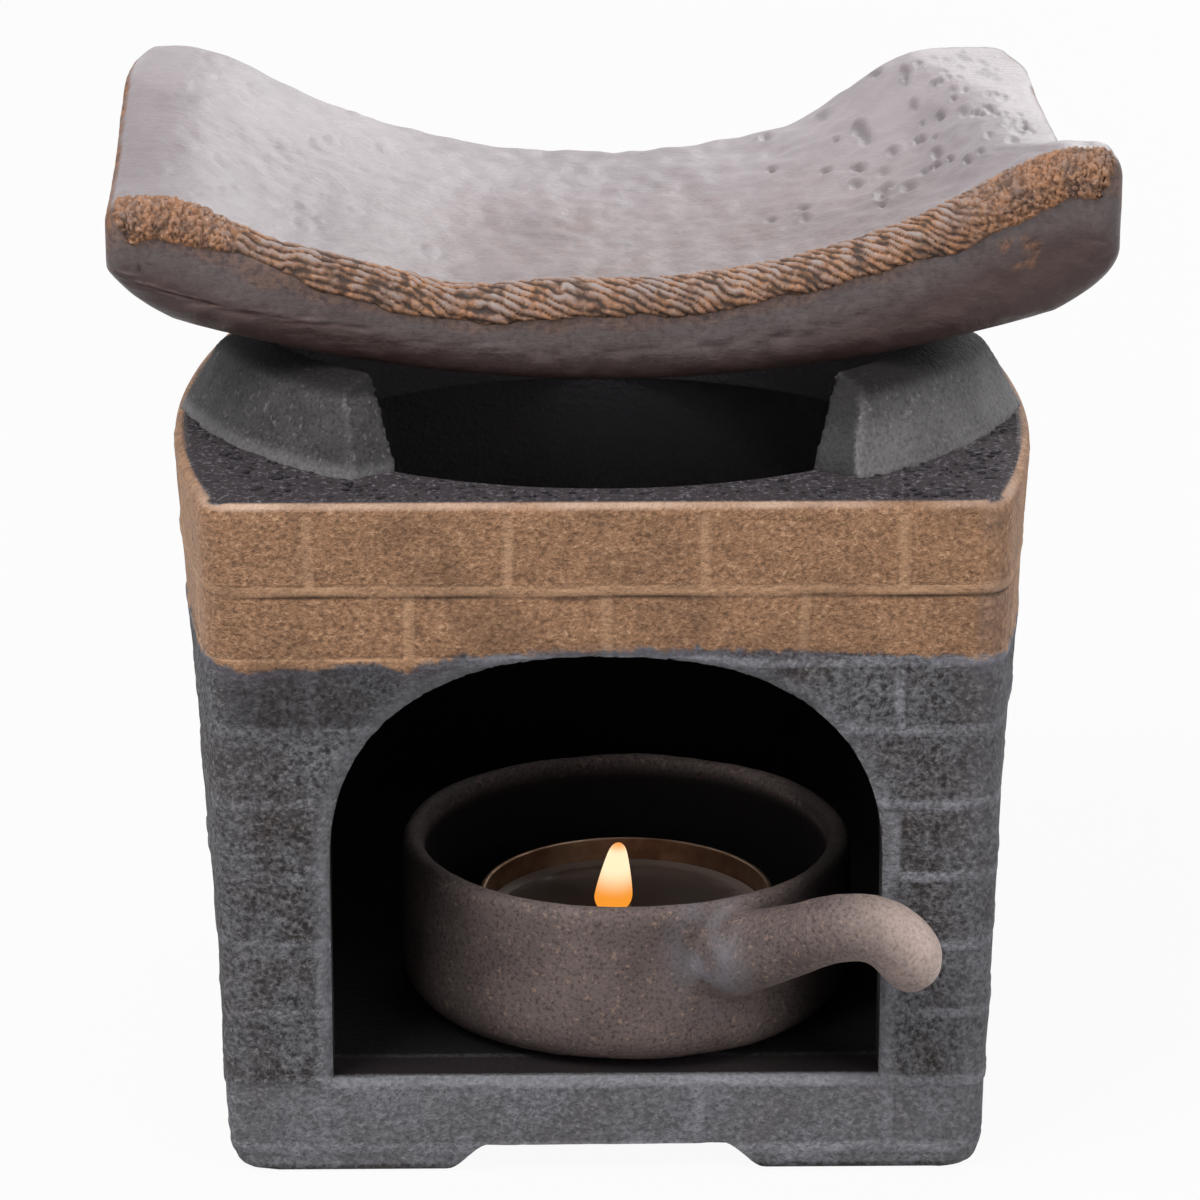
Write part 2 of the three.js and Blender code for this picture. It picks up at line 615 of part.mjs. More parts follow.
const stove = new THREE.Group();
addPiece(stove, 'stove_body', stoveBody(), charcoalStoneware);
const frontLug = restLug(FRONT_LUG_START, FRONT_LUG_END);
const backLug = restLug(BACK_LUG_START, BACK_LUG_END);
addPiece(stove, 'rest_lug_front_right', frontLug, greyStoneware, lugBase);
addPiece(stove, 'rest_lug_front_left', mirrored(frontLug), greyStoneware, lugBase);
addPiece(stove, 'rest_lug_back_left', backLug, greyStoneware, lugBase).rotation.z = Math.PI;
addPiece(stove, 'rest_lug_back_right', mirrored(backLug), greyStoneware, lugBase).rotation.z = Math.PI;

const dish = new THREE.Group();
dish.position.set(DISH_OFFSET_X, 0, dishRestHeight());
dish.rotation.z = THREE.MathUtils.degToRad(DISH_TURN);
addPiece(dish, 'tile_dish', tileDish(), purpleStoneware);

const cup = new THREE.Group();
cup.position.set(CUP_OFFSET_X, cupCentreY, 0);
addPiece(cup, 'candle_cup', candleCup(), brownStoneware, cupBase);
addPiece(cup, 'cup_handle', cupHandle(), brownStoneware, cupBase);

const tealight = new THREE.Group();
tealight.position.y = TEALIGHT_OFFSET_Y;
addPiece(tealight, 'tealight_cup', tealightCup(), aluminium, tealightBase);
addPiece(tealight, 'wick_sustainer', wickSustainer(), tinplate, sustainerBase);
addPiece(tealight, 'tealight_wax', tealightWax(), wax, waxBase);
addPiece(tealight, 'wick', wick(), cotton, waxBase);
cup.add(tealight);

// The handle reaches out in front, so the whole is moved back to stand centred on the origin.
const warmer = new THREE.Group();
warmer.add(stove, dish, cup);
warmer.updateMatrixWorld(true);
const middle = new THREE.Box3().setFromObject(warmer, true).getCenter(new THREE.Vector3());
warmer.position.set(-middle.x, -middle.y, 0);
warmer.updateMatrixWorld(true);

export default warmer;
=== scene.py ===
"""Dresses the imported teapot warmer: a brick-faced stoneware stove, its tile dish and its candle cup.

Sizes are in millimetres and become metres where a mesh is made. The frame is the CAD model's:
+Z is up, the door faces -Y and the table is at zero.
"""

import logging
import math
from dataclasses import dataclass
from enum import Enum
from functools import partial
from typing import Any, Callable, Sequence

import bmesh
import bpy
import numpy as np
from bpy.types import GeometryNodeTree, Material, Node, NodeOutputs, NodeSocket, NodeTree, Object, World
from mathutils import Matrix, Vector, noise

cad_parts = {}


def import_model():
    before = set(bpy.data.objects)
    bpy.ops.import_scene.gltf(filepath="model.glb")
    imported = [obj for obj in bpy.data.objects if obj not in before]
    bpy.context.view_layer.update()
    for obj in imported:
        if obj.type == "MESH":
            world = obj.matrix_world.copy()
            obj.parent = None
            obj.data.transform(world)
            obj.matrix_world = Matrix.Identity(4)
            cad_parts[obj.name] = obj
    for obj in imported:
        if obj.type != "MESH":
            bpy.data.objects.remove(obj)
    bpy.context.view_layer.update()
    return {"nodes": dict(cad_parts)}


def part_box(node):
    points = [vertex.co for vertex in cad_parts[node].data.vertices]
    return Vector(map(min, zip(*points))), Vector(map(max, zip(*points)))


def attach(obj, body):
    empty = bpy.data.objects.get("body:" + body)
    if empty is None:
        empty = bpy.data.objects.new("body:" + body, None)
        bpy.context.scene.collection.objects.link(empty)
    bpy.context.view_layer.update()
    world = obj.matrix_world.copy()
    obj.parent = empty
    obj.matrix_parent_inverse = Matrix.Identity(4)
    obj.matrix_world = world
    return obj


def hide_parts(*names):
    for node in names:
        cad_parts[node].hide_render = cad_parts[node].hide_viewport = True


LOG = logging.getLogger("warmer")
MM = 0.001
# Points nearer than this many millimetres become one
WELD = 0.002
# No length is divided by less than this
TINY = 1e-6

Array = np.ndarray
Triple = tuple[float, float, float]
Adder = Callable[..., Node]


class Body(Enum):
    """The CAD bodies that a piece can ride on."""

    STOVE = "stove"
    DISH = "dish"
    CUP = "cup"
    TEALIGHT = "tealight"


class Kind(Enum):
    """The kinds of node in use, each with the settings that it always has."""

    BLEND = ("ShaderNodeMix", {"data_type": "RGBA"})
    EVEN = ("ShaderNodeMix", {"data_type": "FLOAT"})
    RANGE = ("ShaderNodeMapRange", {})
    SUM = ("ShaderNodeMath", {"operation": "ADD"})
    LESS = ("ShaderNodeMath", {"operation": "SUBTRACT"})
    TIMES = ("ShaderNodeMath", {"operation": "MULTIPLY"})
    TIMES_PLUS = ("ShaderNodeMath", {"operation": "MULTIPLY_ADD"})
    DIVIDE = ("ShaderNodeMath", {"operation": "DIVIDE"})
    POWER = ("ShaderNodeMath", {"operation": "POWER"})
    SINE = ("ShaderNodeMath", {"operation": "SINE"})
    ABSOLUTE = ("ShaderNodeMath", {"operation": "ABSOLUTE"})
    GREATER = ("ShaderNodeMath", {"operation": "MAXIMUM"})
    STRETCH = ("ShaderNodeVectorMath", {"operation": "SCALE"})
    NOISE = ("ShaderNodeTexNoise", {"noise_dimensions": "4D"})
    CELLS = ("ShaderNodeTexVoronoi", {})
    MARK = ("ShaderNodeAttribute", {})
    BUMP = ("ShaderNodeBump", {})
    WHERE = ("ShaderNodeTexCoord", {})
    SCALED = ("ShaderNodeMapping", {})
    RAY = ("ShaderNodeLightPath", {})
    MATT = ("ShaderNodeBsdfDiffuse", {})
    GLOW = ("ShaderNodeEmission", {})
    SKY = ("ShaderNodeBackground", {})
    EITHER = ("ShaderNodeMixShader", {})
    SHADER = ("ShaderNodeBsdfPrincipled", {})
    SURFACE = ("ShaderNodeOutputMaterial", {})
    WORLD = ("ShaderNodeOutputWorld", {})
    GIVEN = ("NodeGroupInput", {})
    MADE = ("NodeGroupOutput", {})
    CARRIED = ("GeometryNodeInputNamedAttribute", {"data_type": "FLOAT"})
    POSITION = ("GeometryNodeInputPosition", {})
    NORMAL = ("GeometryNodeInputNormal", {})
    KEEP = ("GeometryNodeStoreNamedAttribute", {"data_type": "FLOAT", "domain": "POINT"})
    MOVE = ("GeometryNodeSetPosition", {})
    SCATTER = ("GeometryNodeDistributePointsOnFaces", {})
    LUMP = ("GeometryNodeMeshIcoSphere", {})
    CHANCE = ("FunctionNodeRandomValue", {"data_type": "FLOAT_VECTOR"})
    COPIES = ("GeometryNodeInstanceOnPoints", {})
    REALIZE = ("GeometryNodeRealizeInstances", {})
    SMOOTH = ("GeometryNodeSetShadeSmooth", {})
    DRESS = ("GeometryNodeSetMaterial", {})


def linear(code: str) -> tuple[float, float, float, float]:
    """Turns an sRGB hex colour into linear light.

    Args:
        code: The colour as #rrggbb.

    Returns:
        Red, green, blue and alpha in linear light.
    """
    shares = [int(code[at:at + 2], 16) / 255 for at in (1, 3, 5)]
    light = [s / 12.92 if s <= 0.04045 else ((s + 0.055) / 1.055) ** 2.4 for s in shares]
    return (light[0], light[1], light[2], 1.0)


def add_node(tree: NodeTree, kind: Kind, *inputs: Any, **named: Any) -> Node:
    """Adds a node, makes its settings and fills its sockets.

    A socket takes another node's first output, a socket, a hex colour or a value.

    Args:
        tree: The shader or geometry tree.
        kind: The kind of node.
        *inputs: What fills the sockets in use, in their order.
        **named: What fills sockets by name, and further settings.

    Returns:
        The new node.
    """
    type_name, settings = kind.value
    node = tree.nodes.new(type_name)
    for name, value in (settings | named).items():
        if name not in node.inputs:
            setattr(node, name, value)
    filled = list(zip([socket for socket in node.inputs if socket.enabled], inputs))
    filled += [(node.inputs[name], value) for name, value in named.items() if name in node.inputs]
    for socket, value in filled:
        if isinstance(value, Node):
            value = next(output for output in value.outputs if output.enabled)
        if isinstance(value, NodeSocket):
            tree.links.new(value, socket)
        elif isinstance(value, str) and value.startswith("#"):
            socket.default_value = linear(value)
        else:
            socket.default_value = value
    return node


def clear_tree(owner: Material | World) -> Adder:
    """Empties the node tree of a material or of the world.

    Args:
        owner: The material or the world.

    Returns:
        What adds a node to the tree.
    """
    owner.use_nodes = True
    owner.node_tree.nodes.clear()
    return partial(add_node, owner.node_tree)


def ease(low: float, high: float, value: Array) -> Array:
    """Rises smoothly from 0 at low to 1 at high, or falls where high is the smaller."""
    share = np.clip((value - low) / (high - low), 0.0, 1.0)
    return share * share * (3.0 - 2.0 * share)


def clay_noise(points: Array, size: float, seed: float) -> Array:
    """Gives soft unevenness of about -1 to 1 at points, with swellings of a width in millimetres."""
    shifted = points / size + seed
    return np.array([noise.noise(Vector(p)) for p in shifted])


def axis_of(node: str) -> Array:
    """Gives the middle of a CAD node's foot in millimetres."""
    low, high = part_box(node)
    return np.array([(low.x + high.x) / 2, (low.y + high.y) / 2, low.z]) / MM


def new_object(name: str, points: Array, faces: Sequence[Sequence[int]]) -> Object:
    """Makes a mesh object at the origin.

    Args:
        name: The object's name.
        points: Places in millimetres, one row each.
        faces: Point numbers of each face, counterclockwise from outside.

    Returns:
        The linked object.
    """
    mesh = bpy.data.meshes.new(name)
    mesh.from_pydata((np.asarray(points) * MM).tolist(), [], [list(face) for face in faces])
    mesh.validate()
    made = bpy.data.objects.new(name, mesh)
    bpy.context.scene.collection.objects.link(made)
    return made


def read(piece: Object, what: str) -> Array:
    """Reads a direction or place of each of a piece's points.

    Args:
        piece: The piece.
        what: The name of what is read from each point.

    Returns:
        The values, one row for each point.
    """
    flat = np.zeros(len(piece.data.vertices) * 3, np.float32)
    piece.data.vertices.foreach_get(what, flat)
    return flat.reshape(-1, 3).astype(float)


def places(piece: Object) -> Array:
    """Gives a piece's points in millimetres, one row each."""
    return read(piece, "co") / MM


def outward(piece: Object) -> Array:
    """Gives the outward direction at each of a piece's points."""
    return read(piece, "normal")


def put(piece: Object, points: Array) -> None:
    """Moves a piece's points to places in millimetres."""
    piece.data.vertices.foreach_set("co", (points * MM).astype(np.float32).ravel())
    piece.data.update()


def note(piece: Object, marks: dict[str, Array]) -> None:
    """Writes marks into named attributes that a material or a geometry tree reads.

    Args:
        piece: The piece.
        marks: For each name, one number for each of the piece's points.
    """
    for name, values in marks.items():
        attribute = piece.data.attributes.new(name, "FLOAT", "POINT")
        attribute.data.foreach_set("value", np.asarray(values, np.float32))


def smooth(piece: Object, sharp_degrees: float) -> None:
    """Shades a piece smooth, apart from edges that turn by more than an angle."""
    piece.data.shade_smooth()
    piece.data.set_sharp_from_angle(angle=math.radians(sharp_degrees))


def settle(piece: Object) -> None:
    """Turns a piece's modifiers into its plain mesh and removes them.

    Args:
        piece: The piece.
    """
    graph = bpy.context.evaluated_depsgraph_get()
    done = bpy.data.meshes.new_from_object(piece.evaluated_get(graph))
    piece.modifiers.clear()
    piece.data = done


def grow(piece: Object, tree: GeometryNodeTree, sizes: dict[str, Any]) -> None:
    """Runs a geometry tree on a piece and keeps the result as its plain mesh.

    Args:
        piece: The object that the tree starts from.
        tree: The geometry tree.
        sizes: A value for each named input of the tree.
    """
    modifier = piece.modifiers.new(tree.name, "NODES")
    modifier.node_group = tree
    for item in tree.interface.items_tree:
        if item.name in sizes:
            modifier[item.identifier] = sizes[item.name]
    settle(piece)


def dress(piece: Object, finish: Material, body: Body, slot: str, *nodes: str) -> None:
    """Gives a piece its material, its body and the CAD nodes that it stands for.

    Args:
        piece: The finished piece.
        finish: Its material.
        body: The CAD body that it moves with.
        slot: The name of a material slot, which is not used.
        *nodes: The CAD nodes that it replaces.
    """
    piece.data.materials.clear()
    piece.data.materials.append(finish)
    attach(piece, body.value)
    if nodes:
        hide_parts(*nodes)
    LOG.info("%s: %d faces on %s", piece.name, len(piece.data.polygons), body.value)


@dataclass(frozen=True)
class Lamp:
    """One square soft lamp: where it hangs, how wide it is and its power in watts."""

    name: str
    place: Triple
    size: float
    watts: float


@dataclass
class Studio:
    """The white studio: a pale floor, soft lamps and the camera at the photograph's angle."""

    camera_place: Triple = (-9.74, -633.65, 271.29)
    camera_pitch: float = 18.53
    camera_yaw: float = -0.81
    camera_lens: float = 153.36
    sensor: float = 36.0
    nearest: float = 10.0
    farthest: float = 20000.0
    floor_size: float = 3000.0
    paper: str = "#b4b4b4"
    white: str = "#ffffff"
    white_share: float = 0.94
    sky_strength: float = 0.35
    aim: Triple = (0.0, 0.0, 60.0)
    lamps: tuple[Lamp, ...] = (
        Lamp("key_lamp", (-480.0, -400.0, 880.0), 500.0, 10.2),
        Lamp("fill_lamp", (620.0, -520.0, 420.0), 600.0, 2.5),
        Lamp("back_lamp", (340.0, 720.0, 560.0), 600.0, 4.4),
    )

    def make_camera(self) -> None:
        """Sets the camera where it was fitted to the photograph."""
        data = bpy.data.cameras.new("camera")
        data.lens = self.camera_lens
        data.sensor_width = self.sensor
        data.clip_start = self.nearest * MM
        data.clip_end = self.farthest * MM
        camera = bpy.data.objects.new("camera", data)
        camera.location = Vector(self.camera_place) * MM
        pitch = math.radians(90.0 - self.camera_pitch)
        camera.rotation_euler = (pitch, 0.0, math.radians(self.camera_yaw))
        bpy.context.scene.collection.objects.link(camera)
        bpy.context.scene.camera = camera

    def make_floor(self) -> None:
        """Lays a white matt floor that shows white to the camera and keeps a faint shadow."""
        half = self.floor_size / 2
        corners = np.array([[-half, -half, 0], [half, -half, 0], [half, half, 0], [-half, half, 0]])
        floor = new_object("floor", corners, [(0, 1, 2, 3)])
        material = bpy.data.materials.new("white_studio_paper")
        add = clear_tree(material)
        ray = add(Kind.RAY).outputs
        seen = add(Kind.GREATER, ray["Is Camera Ray"], ray["Is Glossy Ray"])
        share = add(Kind.TIMES, seen, self.white_share)
        paper = add(Kind.MATT, self.paper)
        add(Kind.SURFACE, add(Kind.EITHER, share, paper, add(Kind.GLOW, self.white, 1.0)))
        floor.data.materials.append(material)

    def make_sky(self) -> None:
        """Lights the room evenly and shows white behind the object and in its gloss."""
        world = bpy.data.worlds.new("white_room")
        add = clear_tree(world)
        ray = add(Kind.RAY).outputs
        seen = add(Kind.GREATER, ray["Is Camera Ray"], ray["Is Glossy Ray"])
        seen = add(Kind.GREATER, seen, ray["Is Transmission Ray"])
        soft = add(Kind.SKY, self.white, self.sky_strength)
        add(Kind.WORLD, add(Kind.EITHER, seen, soft, add(Kind.SKY, self.white, 1.0)))
        bpy.context.scene.world = world

    def hang(self, lamp: Lamp) -> None:
        """Hangs a lamp that faces the object.

        Args:
            lamp: The lamp.
        """
        data = bpy.data.lights.new(lamp.name, "AREA")
        data.shape = "SQUARE"
        data.size = lamp.size * MM
        data.energy = lamp.watts
        hung = bpy.data.objects.new(lamp.name, data)
        hung.location = Vector(lamp.place) * MM
        aim = Vector(self.aim) * MM - hung.location
        hung.rotation_euler = aim.to_track_quat("-Z", "Y").to_euler()
        bpy.context.scene.collection.objects.link(hung)

    def build(self) -> None:
        """Makes the camera, the floor, the sky and the lamps."""
        self.make_camera()
        self.make_floor()
        self.make_sky()
        for lamp in self.lamps:
            self.hang(lamp)
        bpy.context.scene.view_settings.view_transform = "Standard"


def open_material(name: str, *marks: str) -> tuple[Material, Adder, Node, dict[str, NodeSocket]]:
    """Starts a material whose patterns are measured in millimetres on the object.

    Args:
        name: The real material's name.
        *marks: The marks that it reads from the mesh, where each point carries them.

    Returns:
        The material, what adds a node to it, the place in millimetres, and the marks by name.
    """
    material = bpy.data.materials.new(name)
    add = clear_tree(material)
    per_mm = (1.0 / MM, 1.0 / MM, 1.0 / MM)
    place = add(Kind.SCALED, add(Kind.WHERE).outputs["Object"], Scale=per_mm)
    mark = {each: add(Kind.MARK, attribute_name=each).outputs["Fac"] for each in marks}
    return material, add, place, mark


@dataclass(frozen=True)
class Stoneware:
    """Unglazed fired clay: iron specks and pale grog in a mottled body, with a dry sanded grain.

    The mottle and the grain are widths in millimetres and the relief is a depth.
    """

    name: str
    body: str
    shade: str
    dark: str
    pale: str
    mottle: float
    grain: float
    dark_share: float
    pale_share: float
    roughness: float
    relief: float
    seed: float
    gloss: float = 0.3

    def clay(self, add: Adder, place: Node) -> tuple[Node, Node]:
        """Draws the bare clay.

        Args:
            add: What adds a node to the material.
            place: The place in millimetres.

        Returns:
            The clay's colour, and the height of its grain from 0 to 1.
        """
        grain = add(Kind.NOISE, place, self.seed + 3.0, 1.0 / self.grain, 4.0, 0.65)
        chips = add(Kind.NOISE, place, self.seed + 7.0, 1.0 / (self.grain * 1.3), 2.0, 0.6)
        patches = add(Kind.NOISE, place, self.seed, 1.0 / self.mottle, 3.0, 0.55)
        fire = add(Kind.RANGE, add(Kind.TIMES_PLUS, grain, 0.6, patches), 0.66, 0.94)
        fired = add(Kind.BLEND, fire, self.shade, self.body)
        specks = add(Kind.RANGE, grain, 0.49, 0.38, 0.0, self.dark_share)
        specked = add(Kind.BLEND, specks, fired, self.dark)
        grog = add(Kind.RANGE, chips, 0.58, 0.7, 0.0, self.pale_share)
        return add(Kind.BLEND, grog, specked, self.pale), grain

    def coat(self, add: Adder, colour: Node, height: Node, **further: Any) -> None:
        """Joins the colour and the relief in the clay's shader.

        Args:
            add: What adds a node to the material.
            colour: The colour.
            height: The relief's height, where 1 is the full depth.
            **further: Further inputs of the shader, such as a roughness that varies.
        """
        bump = add(Kind.BUMP, Height=height, Distance=self.relief * MM, Strength=1.0)
        inputs = {"Base Color": colour, "Normal": bump, "Roughness": self.roughness}
        inputs["Specular IOR Level"] = self.gloss
        add(Kind.SURFACE, add(Kind.SHADER, **(inputs | further)))

    def make(self) -> Material:
        """Makes the plain clay with its grain, as in the grit on the deck.

        Returns:
            The material.
        """
        material, add, place, _ = open_material(self.name)
        colour, height = self.clay(add, place)
        self.coat(add, colour, height)
        return material


@dataclass(frozen=True)
class BrickStoneware(Stoneware):
    """Charcoal stoneware pressed with brick joints and washed with bronze along its upper courses.

    The bricks are pitted and the joints smooth. The wash is a thin metallic slip, so it shows as dull
    gold grain that wears off at the corners. The sparkle is the width of the wash's grain. A painted
    shadow lies beside the joints, and the deck has painted glints and a painted highlight along its front
    edge. The throat is painted paler as painted light, the chamber is soot and painted shade, and the
    sill is darkened as painted shade.
    """

    gloss: float = 0.2
    joint: str = "#8f9097"
    # The groove colour paints the shadow beside the joints and darkens the course under the wash
    groove: str = "#2c292a"
    gold: str = "#a0795c"
    gold_dark: str = "#5f4737"
    gold_pale: str = "#d0aa88"
    fringe: str = "#6d6670"
    deck: str = "#3a3437"
    # Pale specks on the deck are painted glints
    deck_painted_glint: str = "#858087"
    # A painted highlight along the deck's front edge
    painted_rim_highlight: str = "#d8b9a4"
    # The upper throat is painted paler as painted light
    throat: str = "#565357"
    # Soot, and painted shade in the dark chamber
    soot_and_painted_shade: str = "#070606"
    # The sill behind the door's edge is darkened as painted shade
    sill: str = "#1d1617"
    sparkle: float = 0.62
    ragged: float = 2.4
    patch: float = 14.0
    tarnish: float = 9.0
    gold_roughness: float = 0.55

    def make(self) -> Material:
        """Makes the stove's clay with its joints, bronze wash, dark deck with painted glints and its edge's
        painted highlight, the throat's painted light, the chamber's soot and painted shade, and the sill's
        painted shade.

        Returns:
            The material.
        """
        tints = {"edge": self.painted_rim_highlight, "throat": self.throat, "sill": self.sill, "soot_and_painted_shade": self.soot_and_painted_shade}
        names = ("joint", "wear_and_highlight", "deck", "dim", "wash", "groove_and_shadow", *tints)
        material, add, place, mark = open_material(self.name, *names)
        sparkle = add(Kind.NOISE, place, 11.0, 1.0 / self.sparkle, 3.0, 0.7)
        bare, height = self.clay(add, place)
        bare = add(Kind.BLEND, add(Kind.RANGE, sparkle, 0.51, 0.37, 0.0, 0.7), bare, self.dark)
        bare = add(Kind.BLEND, add(Kind.RANGE, sparkle, 0.53, 0.67, 0.0, 0.6), bare, self.pale)
        bare = add(Kind.BLEND, mark["dim"], bare, self.groove)
        ragged = add(Kind.NOISE, place, 5.0, 1.0 / self.ragged, 4.0, 0.62)
        above = add(Kind.SUM, mark["wash"], add(Kind.RANGE, ragged, 0.25, 0.75, -1.0, 1.0))
        patches = add(Kind.NOISE, place, 23.0, 1.0 / self.patch, 3.0, 0.55)
        patchy = add(Kind.RANGE, patches, 0.42, 0.6, 0.1, 0.8)
        fringe = add(Kind.TIMES, add(Kind.RANGE, above, -2.4, -0.5), patchy)
        rubbed_and_highlit = add(Kind.RANGE, mark["wear_and_highlight"], 0.4, 1.0, 1.0, 0.7)
        washed = add(Kind.TIMES, add(Kind.RANGE, above, -0.25, 0.35), rubbed_and_highlit)
        colour = add(Kind.BLEND, fringe, bare, self.fringe)
        # The joints are paler in beads, partly as painted glints
        beads_and_glints = add(Kind.RANGE, sparkle, 0.42, 0.62, 0.35, 1.0)
        beaded = add(Kind.TIMES, add(Kind.TIMES, mark["joint"], 0.9), beads_and_glints)
        colour = add(Kind.BLEND, beaded, colour, self.joint)
        colour = add(Kind.BLEND, add(Kind.TIMES, mark["wear_and_highlight"], 0.4), colour, self.joint)
        dull = add(Kind.RANGE, sparkle, 0.5, 0.36, 0.0, 0.65)
        bright = add(Kind.RANGE, sparkle, 0.54, 0.7, 0.0, 0.75)
        lit = add(Kind.GREATER, bright, add(Kind.TIMES, mark["joint"], 0.42))
        leaf = add(Kind.BLEND, lit, add(Kind.BLEND, dull, self.gold, self.gold_dark), self.gold_pale)
        tarnish = add(Kind.NOISE, place, 31.0, 1.0 / self.tarnish, 3.0, 0.55)
        tarnished = add(Kind.RANGE, tarnish, 0.46, 0.68, 0.0, 0.5)
        leaf = add(Kind.BLEND, tarnished, leaf, self.gold_dark)
        colour = add(Kind.BLEND, washed, colour, leaf)
        # The painted shadow beside the joints
        painted_joint_shadow = add(Kind.RANGE, mark["groove_and_shadow"], 0.2, 1.0, 0.0, 0.75)
        colour = add(Kind.BLEND, painted_joint_shadow, colour, self.groove)
        # Painted glints on the deck
        glints = add(Kind.RANGE, sparkle, 0.53, 0.68, 0.0, 0.85)
        deck_tone = add(Kind.BLEND, glints, self.deck, self.deck_painted_glint)
        colour = add(Kind.BLEND, mark["deck"], colour, deck_tone)
        # The deck edge's painted highlight, the throat's painted light, the sill's painted shade, and the
        # chamber's soot and painted shade
        for name, tint in tints.items():
            colour = add(Kind.BLEND, mark[name], colour, tint)
        plain = add(Kind.LESS, 1.0, mark["deck"])
        metal = add(Kind.TIMES, add(Kind.TIMES, washed, 0.2), plain)
        calm = add(Kind.RANGE, add(Kind.GREATER, mark["joint"], mark["wear_and_highlight"]), 0.0, 1.0, 1.0, 0.5)
        grit = add(Kind.TIMES, add(Kind.SUM, height, sparkle), calm)
        rough = add(Kind.RANGE, washed, 0.0, 1.0, self.roughness, self.gold_roughness)
        self.coat(add, colour, grit, Roughness=rough, Metallic=metal)
        return material


@dataclass(frozen=True)
class RustedStoneware(Stoneware):
    """Purple-brown stoneware fired to a satin skin and rusty where its edges are chafed. Its upper side is
    painted paler as painted light and sheen, and its underside darker as painted shade.

    Paddling and dragging leave fine level scratches that catch the light.
    """

    # Painted light and sheen on the upper side, and painted shade below
    inside: str = "#a69da2"
    under: str = "#3d2b28"
    rust: str = "#9a6b4c"
    rust_dark: str = "#3f2a22"
    rust_roughness: float = 0.75
    wear: float = 11.0
    scratch: float = 0.7
    scratch_stretch: Triple = (0.22, 0.5, 1.0)

    def make(self) -> Material:
        """Makes the satin clay with its upper side painted paler as painted light and sheen, its underside
        darkened as painted shade, painted shade in its dents, its scratches and chafed edges.

        Returns:
            The material.
        """
        material, add, place, mark = open_material(self.name, "rust", "inside", "low", "painted_dent_shade")
        bare, height = self.clay(add, place)
        patches = add(Kind.NOISE, place, self.seed + 17.0, 1.0 / self.wear, 3.0, 0.55)
        # Painted light and sheen on the upper side, painted shade on the underside
        pale = add(Kind.TIMES, mark["inside"], add(Kind.RANGE, patches, 0.35, 0.65, 0.5, 0.76))
        colour = add(Kind.BLEND, pale, bare, self.inside)
        colour = add(Kind.BLEND, add(Kind.TIMES, mark["low"], 0.8), colour, self.under)
        burnt = add(Kind.BLEND, add(Kind.RANGE, height, 0.38, 0.6), self.rust_dark, self.rust)
        colour = add(Kind.BLEND, mark["rust"], colour, burnt)
        # Painted shade on one side of each dent
        colour = add(Kind.BLEND, mark["painted_dent_shade"], colour, self.dark)
        drag = add(Kind.SCALED, place, Scale=self.scratch_stretch)
        lines = add(Kind.NOISE, drag, self.seed + 13.0, 1.0 / self.scratch, 3.0, 0.6)
        rough = add(Kind.RANGE, mark["rust"], 0.0, 1.0, self.roughness, self.rust_roughness)
        self.coat(add, colour, add(Kind.TIMES_PLUS, lines, 0.9, height), Roughness=rough)
        return material


@dataclass(frozen=True)
class CordStoneware(Stoneware):
    """Rusty stoneware pressed with a cord: painted shade in its slits, rust on the strands and grey chafed
    crests with a painted highlight.
    """

    gloss: float = 0.35
    # The grey crests are chafed clay and a painted highlight
    crest: str = "#958884"
    painted_slit_shade: str = "#2b1f1a"

    def make(self) -> Material:
        """Makes the rusty clay, darkened in the slits as painted shade and grey on the inner strands' crests
        as chafing and a painted highlight.

        Returns:
            The material.
        """
        material, add, place, mark = open_material(self.name, "strand", "inner", "loose")
        rusty, height = self.clay(add, place)
        rubbed_and_highlit = add(Kind.TIMES, add(Kind.RANGE, mark["strand"], 0.55, 0.95), mark["inner"])
        colour = add(Kind.BLEND, rubbed_and_highlit, rusty, self.crest)
        # Painted shade in the slits between the strands
        painted_slit_shade = add(Kind.RANGE, mark["strand"], 0.62, 0.25, 0.0, 0.92)
        deep = add(Kind.TIMES, painted_slit_shade, add(Kind.RANGE, mark["loose"], 0.0, 1.0, 1.0, 0.5))
        self.coat(add, add(Kind.BLEND, deep, colour, self.painted_slit_shade), height)
        return material


@dataclass(frozen=True)
class HandledStoneware(Stoneware):
    """Stoneware with a sandy grain, worn paler and smoother where it is handled and at its edges, where the
    paler colour is also a painted highlight.

    Smoke blackens it next to the flame, and painted shade darkens it where it lies in shade. A grey patch
    lies in front of the handle's root.
    """

    gloss: float = 0.15
    # The worn colour is also a painted highlight
    rubbed_and_highlit: str = "#cdb8af"
    bloom: str = "#868893"
    # The smoke colour is also painted shade
    smoke_and_shade: str = "#0e0b0b"
    rubbed_roughness: float = 0.45

    def make(self) -> Material:
        """Makes the sandy clay, its worn places and their painted highlight, its grey patch, and its smoke
        and painted shade.

        Returns:
            The material.
        """
        material, add, place, mark = open_material(self.name, "wear_and_highlight", "bloom", "smoked_and_shaded")
        bare, height = self.clay(add, place)
        crests = add(Kind.RANGE, height, 0.36, 0.58, 0.62, 1.0)
        # Worn grain crests are painted paler, also as a painted highlight
        colour = add(Kind.BLEND, add(Kind.TIMES, mark["wear_and_highlight"], crests), bare, self.rubbed_and_highlit)
        colour = add(Kind.BLEND, mark["bloom"], colour, self.bloom)
        # Smoke and painted shade
        colour = add(Kind.BLEND, mark["smoked_and_shaded"], colour, self.smoke_and_shade)
        calm = add(Kind.RANGE, mark["wear_and_highlight"], 0.0, 1.0, 1.0, 0.6)
        rough = add(Kind.RANGE, mark["wear_and_highlight"], 0.0, 1.0, self.roughness, self.rubbed_roughness)
        self.coat(add, colour, add(Kind.TIMES, height, calm), Roughness=rough)
        return material


